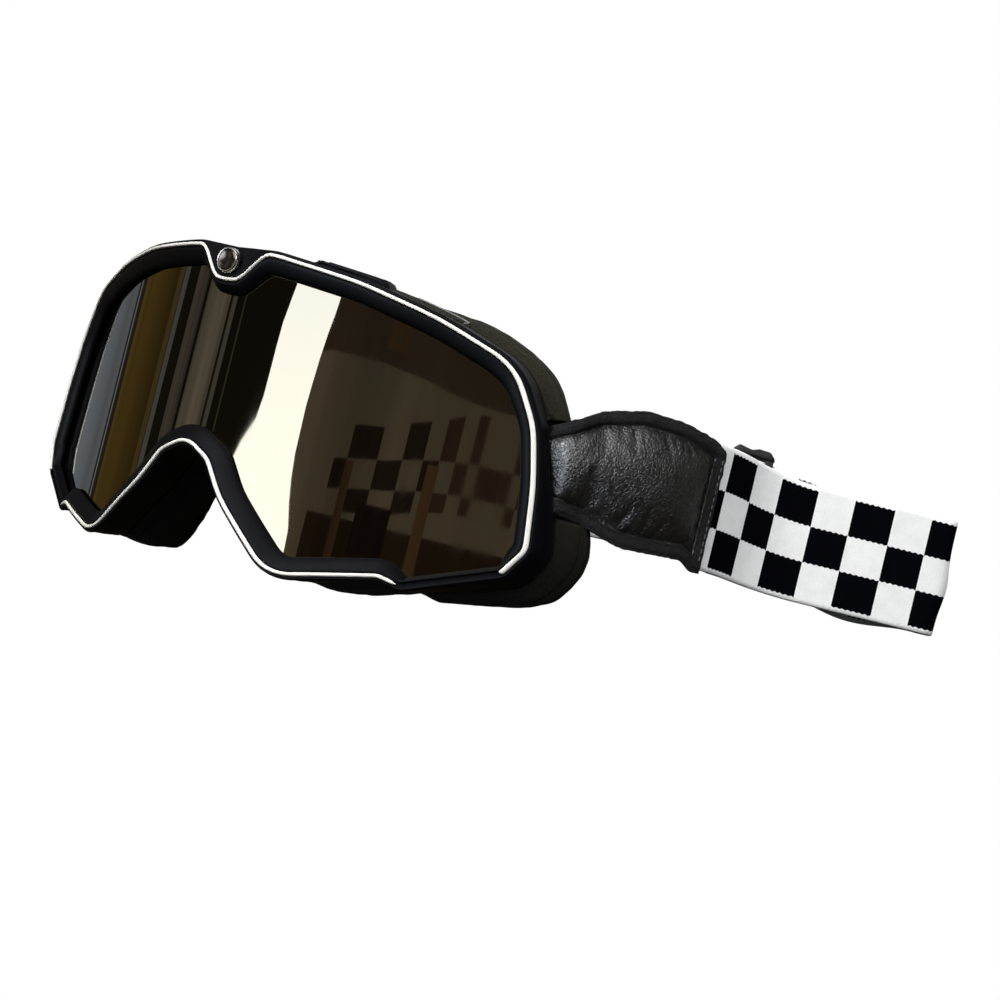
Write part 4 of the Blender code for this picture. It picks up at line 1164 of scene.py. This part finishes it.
def build_lining(side, word):
    """Backing leather: wraps the hinge wire, then follows the panel on the head side."""
    path, normals = panel_lines(side)
    wire, half = 0.7, 0.5
    wrap = wire + 0.35 + half
    base_angle = math.degrees(math.atan2(*(path[1] - path[0]).yx))
    line = []
    for k in range(25):
        turn = base_angle + side * 90.0 + side * (200.0 - 200.0 / 24 * k)
        line.append(path[0] + heading(turn) * wrap)
    hem = len(line)
    for i in range(10, len(path)):
        line.append(path[i] - normals[i] * (wrap - 0.9 * blend_step(i - 10, 0, 18)))
    cross = plan_normals(line)
    low_neck, high_neck = -7.1, 8.6
    points = []
    count = 20
    for i, spot in enumerate(line):
        t = max(0.0, (i - hem) / (len(line) - 1 - hem))
        ease = blend_step(t, 0.0, 0.12)
        low, high = panel_edges(t)
        low = low_neck + (min(low_neck, low) - low_neck) * ease
        high = high_neck + (max(high_neck, high) - high_neck) * ease
        for face, j in there_and_back(count + 1):
            z = low + (high - low) * j / count
            ripple = noise.noise(Vector((spot.x, spot.y, z)) * 0.15) * 0.2 * ease
            shift = ripple * side - face * half
            points.append(Vector((spot.x + cross[i].x * shift, spot.y + cross[i].y * shift, z)))
    lining = make(f"{word}_leather_back", points, slab_faces(len(line), count), [LINING],
                  f"{word}_outrigger", smooth=70.0)
    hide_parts(f"{word}_leather_lining")


def edge_line(side, inset, extra):
    """Points round the panel, a distance in from its edge: along the top, down the end, and back."""
    rows, total = panel_rows(side)

    def spot(row, share):
        low, high = panel_edges(row[4])
        across = inset + (high - low - 2 * inset) * share
        height = panel_height(row[3], across, high - low, total)
        return panel_point(row, low + across, 0.25 + LEATHER_THICK + height + extra)

    end = max(i for i, row in enumerate(rows) if total - row[3] >= inset)
    top = [spot(row, 1.0) for row in rows[:end + 1]]
    down = [spot(rows[end], 1.0 - k / 40) for k in range(1, 40)]
    bottom = [spot(row, 0.0) for row in reversed(rows[:end + 1])]
    return top, down, bottom


def stitch_run(name, line, pitch, length, radius, finish, body):
    """Separate thread stitches along a line of points."""
    lengths = run_lengths(line)
    points = []
    faces = []
    sides = 6
    place = 0.4

    def locate(s):
        k = int(np.searchsorted(lengths, s)) - 1
        k = min(max(k, 0), len(line) - 2)
        t = (s - lengths[k]) / max(lengths[k + 1] - lengths[k], 1e-6)
        return line[k].lerp(line[k + 1], t)

    while place + length < lengths[-1]:
        a = locate(place)
        b = locate(place + length)
        along = (b - a).normalized()
        side = along.cross(Vector((0.3, 0.4, 0.86))).normalized()
        other = along.cross(side)
        base = len(points)
        stops = [(0.0, 0.25), (0.18, 0.85), (0.5, 1.0), (0.82, 0.85), (1.0, 0.25)]
        for t, size in stops:
            for k in range(sides):
                turn = 2 * math.pi * k / sides
                ring = side * math.cos(turn) + other * math.sin(turn)
                points.append(a.lerp(b, t) + ring * radius * size)
        for f in loft(len(stops), sides, False):
            faces.append(tuple(base + k for k in f))
        place += pitch
    thread = make(name, points, faces, [finish], body)


def build_trim(side, word):
    """Rolled edge cord and stitches of one outrigger."""
    body = f"{word}_outrigger"
    top, down, bottom = edge_line(side, 0.35, -0.55)
    path = top + down + bottom

    def thick(t):
        return 0.55 + 0.12 * noise.noise(Vector((t * 70.0, side, 0.0)))

    lumpy = [p + noise.noise_vector(p * 0.8) * 0.22 for p in path]
    cord = tube(f"{word}_edge_cord", lumpy, thick, LEATHER_BORDER, body, sides=10)
    groove_top, groove_end, groove_bottom = edge_line(side, BORDER + 0.2, 0.05)
    stitch_run(f"{word}_stitches", groove_top + groove_end + groove_bottom, 2.3, 1.5, 0.16, YARN_BLACK, body)
    _, end, _ = edge_line(side, 1.7, 0.02)
    stitch_run(f"{word}_end_stitches", end, 2.0, 1.3, 0.15, THREAD, body)


# ---------------------------------------------------------------- elastic strap

def check_is_black(along, row):
    """Row 1 is the middle one; its checks are the other way round."""
    column = math.floor((along - FIRST_CHECK) / CHECK) + 1
    return (column % 2 == 1) != (row == 1)


def strap_rows():
    """Heights across the strap and the check row of each band between them."""
    each = (STRAP_HIGH - STRAP_LOW - 2 * MARGIN) / 3
    heights = [0.0, 0.35, MARGIN]
    bands = [-1, -1]
    for row in (2, 1, 0):
        start = heights[-1]
        heights += [start + each * k / BANDS for k in range(1, BANDS + 1)]
        bands += [row] * BANDS
    heights += [heights[-1] + MARGIN - 0.35, heights[-1] + MARGIN]
    bands += [-1, -1]
    return heights, bands


def even_path(points, rises, pitch):
    """Resample the path at a pitch; returns plan points, rises and runs."""
    lengths = run_lengths(points)
    total = lengths[-1]
    count = int(total // pitch)
    stops = [total * k / count for k in range(count + 1)]
    xs = np.interp(stops, lengths, [p.x for p in points])
    ys = np.interp(stops, lengths, [p.y for p in points])
    zs = np.interp(stops, lengths, rises)
    path = [Vector((x, y)) for x, y in zip(xs, ys)]
    return path, list(zs), stops


def webbing(name, points, uvs, places):
    """An elastic piece from rows that run up one side and down the other; places run along it."""
    _, bands = strap_rows()
    around = bands + [-1] + bands[::-1] + [-1]
    looks = [int(band >= 0 and check_is_black(place, band)) for place in places for band in around]
    looks += [0] * (2 * len(bands))
    item = make(name, points, slab_faces(len(places) + 1, len(bands)), [YARN_WHITE, YARN_BLACK],
                None, looks, smooth=60.0)
    layer = item.data.uv_layers.new(name="weave")
    for loop in item.data.loops:
        layer.data[loop.index].uv = uvs[loop.vertex_index]
    return item


def build_strap_piece(name, path, rises, stops, fold_at):
    """A stretch of the elastic: two faces of checks, with edges rolled over."""
    heights, _ = strap_rows()
    last = len(heights) - 1
    points = []
    uvs = []
    for i, (point, normal, rise, along) in enumerate(zip(path, plan_normals(path), rises, stops)):
        fold = math.exp(-((along - fold_at) / 3.0) ** 2)
        for face, j in there_and_back(last + 1):
            share = heights[j] / heights[-1]
            zig = 0.0
            if 2 <= j <= last - 2 and (j - 2) % BANDS == 0:
                zig = TOOTH * 0.22 * (1 if i % 2 else -1)
            thick = STRAP_HALF * (0.35 if j in (0, last) else 0.92)
            bulge = fold * 1.1 * math.exp(-((share - 0.42) / 0.2) ** 2)
            sag = noise.noise(Vector((along * 0.05, share * 1.5, 1.0))) * 0.12
            shift = face * thick - bulge + sag
            lift = (STRAP_LIFT[0] + STRAP_LIFT[1] * share) * (1.0 - blend_step(along, 0.0, STRAP_LIFT[2]))
            points.append(Vector((point.x + normal.x * shift, point.y + normal.y * shift,
                                  STRAP_LOW + heights[j] + zig + lift + rise)))
            uvs.append((along, heights[j]))
    return webbing(name, points, uvs, [0.5 * (a + b) for a, b in zip(stops, stops[1:])])


def build_strap():
    points, rises, fold_start, fold_end, turn = strap_path()
    lengths = run_lengths(points)
    fold_at = 0.5 * (lengths[fold_start] + lengths[fold_end])
    path, heights, stops = even_path(points, rises, TOOTH)
    under = round(4.0 / TOOTH)     # the strap runs on under the leather
    path = [path[0] - heading(LEFT_END) * TOOTH * k for k in range(under, 0, -1)] + path
    heights = [0.0] * under + heights
    stops = [-TOOTH * k for k in range(under, 0, -1)] + stops
    split = min(range(len(stops)), key=lambda i: abs(stops[i] - fold_at - 3.0))
    first, second = ([line[part] for line in (path, heights, stops)]
                     for part in (slice(None, split + 1), slice(split, None)))
    front = build_strap_piece("strap_front", *first, fold_at)
    rear = build_strap_piece("strap_rear", *second, fold_at)
    seam = ORIGIN + path[0].to_3d() * MM
    ahead = seam + heading(LEFT_END).to_3d() * 9.0 * MM
    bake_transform(front)
    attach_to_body(rear, "strap")
    for piece in (front, rear):
        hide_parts("elastic_strap")
    return points[fold_end], turn


# ---------------------------------------------------------------- slider

def build_slider(fold_end, turn):
    along = heading(turn)
    away = Vector((along.y, -along.x))
    centre = fold_end + along * SLIDER_AT
    wrap = SLIDER_BAR * 0.75 + 0.35 + HEM_HALF
    middle = STRAP_HALF + GAP + HEM_HALF + wrap
    front = -(STRAP_HALF + GAP + 1.0)
    back = middle + SLIDER_BAR / 2 + 0.4
    low = STRAP_LOW - 0.25
    high = STRAP_HIGH + SLIDER_CLEARANCE

    def spot(s, n, z):
        plan = centre + along * s + away * n
        return Vector((plan.x, plan.y, z + RETURN_RISE * (SLIDER_AT + s)))

    def bar(name, s_range, n_range, z_range, bevel, chamfer=0.0):
        """A moulded bar with chamfered upper or lower corners and softened edges."""
        s0, s1 = s_range
        z0, z1 = z_range
        outline = [(s0, z0), (s1, z0), (s1, z1), (s0, z1)]
        c = abs(chamfer)
        if chamfer > 0:
            outline = [(s0, z0), (s1, z0), (s1, z1 - 1.1 * c), (s1 - c, z1 - 0.15 * c), (0.9, z1 - 0.6 * c),
                       (-1.0, z1), (s0 + 1.2 * c, z1), (s0, z1 - 1.2 * c)]
        if chamfer < 0:
            outline = [(s0 + c, z0), (s1 - c, z0), (s1, z0 + c), (s1, z1), (s0, z1), (s0, z0 + c)]
        rows = [[spot(s, n, z) for s, z in outline] for n in n_range]
        piece = sweep(name, rows, DARK_RUBBER, None, closed=False, smooth=30.0)
        edge = piece.modifiers.new("soft", 'BEVEL')
        edge.width = bevel * MM
        edge.segments = 3
        edge.limit_method = 'ANGLE'
        apply_modifiers(piece)
        piece.data.shade_smooth()
        piece.data.set_sharp_from_angle(angle=math.radians(35.0))
        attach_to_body(piece, "slider")
        return piece

    half = SLIDER_HALF
    top = bar("slider_top_rail", (-half, half), (front, back), (high, high + SLIDER_RAIL), 0.45, 1.3)
    bar("slider_low_rail", (-half, half), (front, back), (low - LOW_RAIL, low), 0.3, -0.5)
    plate = (front + 0.2, front + 1.0)
    span = (low - 0.5, high + 0.5)
    bar("slider_near_bar", (0.2 - half, 0.2 - half + SLIDER_BAR), plate, span, 0.3)
    bar("slider_far_bar", (half - 0.2 - SLIDER_BAR, half - 0.2), plate, span, 0.3)
    bar("slider_middle_bar", (-SLIDER_BAR / 2, SLIDER_BAR / 2),
        (middle - SLIDER_BAR / 2, middle + SLIDER_BAR / 2), span, 0.5)
    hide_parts("slider_buckle")
    build_hem(middle, wrap, spot)


def build_hem(middle, wrap, spot):
    """The strap end: from under the slider round its middle bar and back, in the same webbing."""
    line = [(-HEM_LENGTH + k, middle - wrap) for k in range(int(HEM_LENGTH))]
    line += [(wrap * math.sin(t), middle - wrap * math.cos(t)) for t in spread(0.0, math.pi, 24)]
    line += [(-k, middle + wrap) for k in range(1, 6)]
    plan = [Vector(p) for p in line]
    heights, _ = strap_rows()
    scale = (STRAP_HIGH - STRAP_LOW - 0.8) / heights[-1]
    lengths = run_lengths(plan)
    points = []
    uvs = []
    for p, normal, run in zip(plan, plan_normals(plan), lengths):
        for face, j in there_and_back(len(heights)):
            thick = HEM_HALF * (0.5 if j in (0, len(heights) - 1) else 0.95)
            place = p + normal * face * thick
            points.append(spot(place.x, place.y, STRAP_LOW + 0.4 + heights[j] * scale))
            uvs.append((run, heights[j]))
    hem = webbing("strap_hem", points, uvs, [run + 4.0 for run in lengths[:-1]])
    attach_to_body(hem, "slider")
    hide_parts("strap_end_hem")


# ---------------------------------------------------------------- carried-over CAD nodes

def dress_cad_nodes():
    finishes = {
        "left_hinge_wire": WIRE, "right_hinge_wire": WIRE, "rivet_post": WIRE,
        "top_vent_foam_left": SOFT_FOAM, "top_vent_foam_right": SOFT_FOAM,
    }
    for name, finish in finishes.items():
        item = frame["nodes"][name]
        item.data.materials.clear()
        item.data.materials.append(finish)


# ---------------------------------------------------------------- studio

CAMERA = {"azimuth": 35.576, "elevation": -2.497, "roll": 13.783, "distance": 810.94,
          "lens": 110.53, "aim": (58.94, 60.0, -6.155)}


def bearing(azimuth, elevation):
    """Unit vector towards an azimuth, from the front towards the wearer's left, and an elevation."""
    a, e = math.radians(azimuth), math.radians(elevation)
    return Vector((math.sin(a) * math.cos(e), -math.cos(a) * math.cos(e), math.sin(e)))


def build_camera():
    back = bearing(CAMERA["azimuth"], CAMERA["elevation"])
    a, r = math.radians(CAMERA["azimuth"]), math.radians(CAMERA["roll"])
    level = Vector((math.cos(a), math.sin(a), 0.0))
    upright = back.cross(level)
    right = level * math.cos(r) + upright * math.sin(r)
    up = upright * math.cos(r) - level * math.sin(r)
    data = bpy.data.cameras.new("camera")
    data.lens = CAMERA["lens"]
    data.sensor_width = 36.0
    data.clip_start = 0.05
    data.clip_end = 60.0
    item = bpy.data.objects.new("camera", data)
    bpy.context.scene.collection.objects.link(item)
    from_axes = [[right[i], up[i], back[i]] for i in range(3)]
    item.rotation_mode = 'QUATERNION'
    item.rotation_quaternion = Matrix(from_axes).to_quaternion()
    item.location = ORIGIN + (Vector(CAMERA["aim"]) + back * CAMERA["distance"]) * MM
    bpy.context.scene.camera = item


def emitter(name, colour, strength):
    made = bpy.data.materials.new(name)
    made.use_nodes = True
    tree = made.node_tree
    tree.nodes.clear()
    glow = node(tree, "Emission", {"Color": (*colour, 1.0), "Strength": strength})
    out = node(tree, "OutputMaterial")
    tree.links.new(glow.outputs["Emission"], out.inputs["Surface"])
    return made


CARD_DISTANCE = 8000.0         # the cards stand far off, so that they keep their bearings over the lens


def card(name, spot, finish, nearness=0.0):
    """A curved card seen only in reflections. spot(u, v) gives its azimuth and elevation in degrees."""
    pieces = 16
    reach = CARD_DISTANCE - nearness
    points = []
    for v in spread(0.0, 1.0, pieces):
        for u in spread(0.0, 1.0, pieces):
            azimuth, elevation = (math.radians(a) for a in spot(u, v))
            points.append(Vector((reach * math.sin(azimuth), -reach * math.cos(azimuth),
                                  reach * math.tan(elevation))))
    corners = [i * (pieces + 1) + j for i in range(pieces) for j in range(pieces)]
    faces = [(a, a + 1, a + pieces + 2, a + pieces + 1) for a in corners]
    item = make(name, points, faces, [finish], None)
    item.visible_camera = False
    item.visible_diffuse = False
    item.visible_shadow = False
    item.visible_transmission = False


def upright_card(name, azimuths, elevations, finish, nearness=0.0):
    """A plain card between two azimuths and two elevations."""
    def spot(u, v):
        return tuple(low + (high - low) * share for (low, high), share in ((azimuths, u), (elevations, v)))

    card(name, spot, finish, nearness)


def streaked(name, colour, contrast, grain):
    """A dim emission with soft upright streaks, like a room out of focus."""
    made = emitter(name, colour, 1.0)
    tree = made.node_tree
    glow = tree.nodes["Emission"]
    places = node(tree, "TexCoord")
    long = node(tree, "VectorMath", {0: (places, "Object"), 1: (grain, grain, grain * 0.25)},
                operation='MULTIPLY')
    cloud = node(tree, "TexNoise", {"Vector": (long, "Vector"), "Scale": 1.0, "Detail": 5.0,
                                    "Roughness": 0.6})
    dark = tuple(c * (1.0 - contrast) for c in colour)
    light = tuple(c * (1.0 + contrast) for c in colour)
    tone = ramp(tree, (cloud, "Fac"), [(0.32, dark), (0.68, light)])
    tree.links.new(tone.outputs["Color"], glow.inputs["Color"])
    return made


SOFTBOX_LEFT = [(-22.0, -24.0), (0.7, -22.0), (2.2, -19.4), (2.56, -14.3), (3.12, -12.1), (4.06, -11.9),
                (4.83, -11.8), (5.7, -9.8), (8.0, -4.0), (30.0, 0.0)]
SOFTBOX_RIGHT = [(-22.0, 12.0), (0.7, 8.9), (1.59, 6.1), (2.33, 5.0), (3.49, 4.7), (4.67, 5.6), (5.54, 7.1),
                 (8.0, 9.0), (30.0, 12.0)]
WALL_TOP = [(4.9, 4.5), (6.6, 4.61), (21.6, 4.61), (30.3, 4.44), (34.7, 4.14), (60.0, 3.6)]
CLOTH_COLUMNS = [16.0, 19.0, 24.7, 28.4, 30.8, 32.3, 33.4, 34.1, 34.45, 34.8]
CLOTH_EDGES = [[(12.0, 3.14), (24.6, 3.33), (31.7, 3.72), (34.2, 4.04), (36.5, 4.2)],
               [(12.0, 2.40), (26.0, 2.66), (32.6, 2.93), (36.5, 3.1)],
               [(12.0, 1.75), (27.2, 2.06), (33.1, 2.28), (36.5, 2.4)],
               [(12.0, 1.25), (27.8, 1.56), (33.4, 1.89), (36.5, 2.0)]]


def build_cards():
    """Softbox and dim studio cards that the mirror lens picks up."""
    glow = emitter("softbox_glow", (0.82, 0.87, 1.0), 15.5)
    heights = [("softbox_low", -22.0, 22.3), ("softbox_middle", 0.3, 8.2), ("softbox_high", 8.5, 21.5)]
    for name, low, tall in heights:
        def spot(u, v, low=low, tall=tall):
            elevation = low + tall * v
            left, right = (outline_value(edge, elevation) for edge in (SOFTBOX_LEFT, SOFTBOX_RIGHT))
            return left + (right - left) * u, elevation

        card(name, spot, glow, 800.0)
    strips = [
        ("grey_card", -114.0, -104.6, (0.26, 0.28, 0.31), 0.25),
        ("edge_card", -103.6, -103.0, (0.40, 0.42, 0.46), 0.2),
        ("olive_card", -100.6, -79.5, (0.215, 0.135, 0.035), 0.3),
        ("olive_side", -79.5, -76.2, (0.33, 0.25, 0.11), 0.2),
        ("thin_card", -75.8, -72.6, (0.42, 0.42, 0.45), 0.2),
        ("stripe_a", -66.0, -58.5, (0.50, 0.46, 0.42), 0.6),
        ("stripe_b", -56.5, -41.5, (0.62, 0.57, 0.50), 0.6),
        ("stripe_c", -40.2, -37.6, (0.52, 0.50, 0.46), 0.4),
        ("stripe_d", -33.2, -32.4, (0.24, 0.23, 0.17), 0.4),
    ]
    for name, left, right, colour, contrast in strips:
        upright_card(name, (left, right), (-20.0, 40.0), streaked(name, colour, contrast, 0.9))
    build_room_cards()


def build_room_cards():
    """The right of the lens: a pale wall, a length of chequered cloth on it and brown uprights."""
    def wall(u, v):
        azimuth = 5.0 + 55.0 * u
        return azimuth, -20.0 + (outline_value(WALL_TOP, azimuth) + 20.0) * v

    card("wall_card", wall, streaked("wall_glow", (0.46, 0.40, 0.31), 0.3, 0.5))
    dim = streaked("wall_dim", (0.20, 0.15, 0.11), 0.3, 0.5)
    upright_card("wall_high", (5.0, 60.0), (4.0, 30.0), dim, -300.0)
    dark = streaked("cloth_dark", (0.09, 0.065, 0.048), 0.4, 0.5)
    brown = streaked("cloth_brown", (0.17, 0.115, 0.08), 0.3, 0.5)
    for row in range(3):
        for column in range(len(CLOTH_COLUMNS) - 1):
            if (row + column) % 2 == 0:
                continue

            def square(u, v, left=CLOTH_COLUMNS[column], right=CLOTH_COLUMNS[column + 1], row=row):
                azimuth = left + (right - left) * u
                top = outline_value(CLOTH_EDGES[row], azimuth)
                bottom = outline_value(CLOTH_EDGES[row + 1], azimuth)
                return azimuth, bottom + (top - bottom) * v

            card(f"cloth_{row}_{column}", square, dark if column < 5 else brown, 300.0)
    low = streaked("low_glow", (0.10, 0.07, 0.045), 0.4, 0.5)
    timber = streaked("timber", (0.25, 0.145, 0.085), 0.5, 0.6)
    shade = streaked("shade", (0.05, 0.035, 0.03), 0.5, 0.6)
    uprights = [
        ("wall_low", (12.5, 60.0), (-20.0, 1.3), low, 200.0),
        ("timber_near", (18.9, 20.6), (-20.0, 2.5), timber, 500.0),
        ("timber_far", (31.4, 32.4), (-20.0, 2.8), timber, 500.0),
        ("timber_top", (21.5, 25.5), (4.9, 9.0), timber, 500.0),
        ("shade_mid", (23.2, 28.6), (-20.0, 1.7), shade, 400.0),
    ]
    for upright in uprights:
        upright_card(*upright)


LIGHTS_AIM = Vector((0.03, 0.05, 0.0))             # from the origin to the middle of the object


def area_light(name, azimuth, elevation, distance, size, power, colour, glossy=True):
    data = bpy.data.lights.new(name, 'AREA')
    data.shape = 'RECTANGLE'
    data.size, data.size_y = size
    data.energy = power
    data.color = colour
    item = bpy.data.objects.new(name, data)
    back = bearing(azimuth, elevation)
    item.location = ORIGIN + LIGHTS_AIM + back * distance
    item.rotation_mode = 'QUATERNION'
    item.rotation_quaternion = back.to_track_quat('Z', 'Y')
    item.visible_camera = False
    item.visible_glossy = glossy
    bpy.context.scene.collection.objects.link(item)


def build_world():
    """White to the camera, a soft dome that fades downwards for diffuse light, dim in reflections."""
    world = bpy.data.worlds.new("studio")
    world.use_nodes = True
    bpy.context.scene.world = world
    tree = world.node_tree
    tree.nodes.clear()
    ray = node(tree, "LightPath")
    place = node(tree, "TexCoord")
    split = node(tree, "SeparateXYZ", {"Vector": (place, "Generated")})
    dome = ramp(tree, (node(tree, "MapRange", {"Value": (split, "Z"), "From Min": -1.0, "From Max": 1.0}),
                       "Result"), [(0.48, 0.012), (0.90, 0.30)])
    fill = node(tree, "Background", {"Color": (dome, "Color"), "Strength": 1.0})
    dim = node(tree, "Background", {"Color": (0.055, 0.048, 0.034, 1.0), "Strength": 1.0})
    white = node(tree, "Background", {"Color": (1.0, 1.0, 1.0, 1.0), "Strength": 1.0})
    first = node(tree, "MixShader", {0: (ray, "Is Glossy Ray"), 1: (fill, "Background"),
                                     2: (dim, "Background")})
    second = node(tree, "MixShader", {0: (ray, "Is Camera Ray"), 1: (first, "Shader"),
                                      2: (white, "Background")})
    out = node(tree, "OutputWorld")
    tree.links.new(second.outputs["Shader"], out.inputs["Surface"])


def build_floor():
    """A plain pale floor well below the goggles, a disc that fades out towards its rim."""
    made, tree, shader, where = surface("studio_floor", 0.9)
    drive(tree, shader, "Base Color", (noise_at(tree, where, 0.004, 3.0), "Fac"),
          [(0.3, 0.93), (0.7, 0.96)])
    flat = node(tree, "VectorMath", {0: where, 1: (1.0, 1.0, 0.0)}, operation='MULTIPLY')
    out_from = node(tree, "VectorMath", {0: (flat, "Vector")}, operation='LENGTH')
    fade = node(tree, "MapRange", {"Value": (out_from, "Value"), "From Min": 350.0, "From Max": 1250.0,
                                   "To Min": 1.0, "To Max": 0.0}, interpolation_type='SMOOTHSTEP')
    tree.links.new(fade.outputs["Result"], shader.inputs["Alpha"])
    reach, drop = 1300.0, -420.0
    sides = 96
    turns = [2 * math.pi * k / sides for k in range(sides)]
    points = [Vector((reach * math.cos(t), reach * math.sin(t), drop)) for t in turns]
    floor = make("floor", points, [tuple(range(sides))], [made], None)
    floor.visible_diffuse = False
    floor.visible_glossy = False


def build_lights():
    area_light("key", 6.0, 38.0, 1.25, (0.8, 0.6), 17.0, (1.0, 0.99, 0.96))
    area_light("right_key", 56.0, 30.0, 1.3, (0.4, 0.5), 4.6, (1.0, 1.0, 1.0))
    area_light("fill", 100.0, 18.0, 1.4, (0.9, 0.9), 3.5, (1.0, 1.0, 1.0), False)
    area_light("top", 20.0, 80.0, 1.2, (1.1, 0.5), 4.0, (1.0, 1.0, 1.0))
    area_light("rear", 190.0, 34.0, 1.5, (1.2, 0.8), 5.0, (0.98, 0.99, 1.0))


build_frame()
build_piping()
build_lens()
build_rivet()
build_foam()
for SIDE, WORD in ((1, "left"), (-1, "right")):
    build_outer_panel(SIDE, WORD)
    build_lining(SIDE, WORD)
    build_trim(SIDE, WORD)
build_slider(*build_strap())
dress_cad_nodes()
build_camera()
build_cards()
build_world()
build_floor()
build_lights()
bpy.context.scene.view_settings.view_transform = 'Standard'
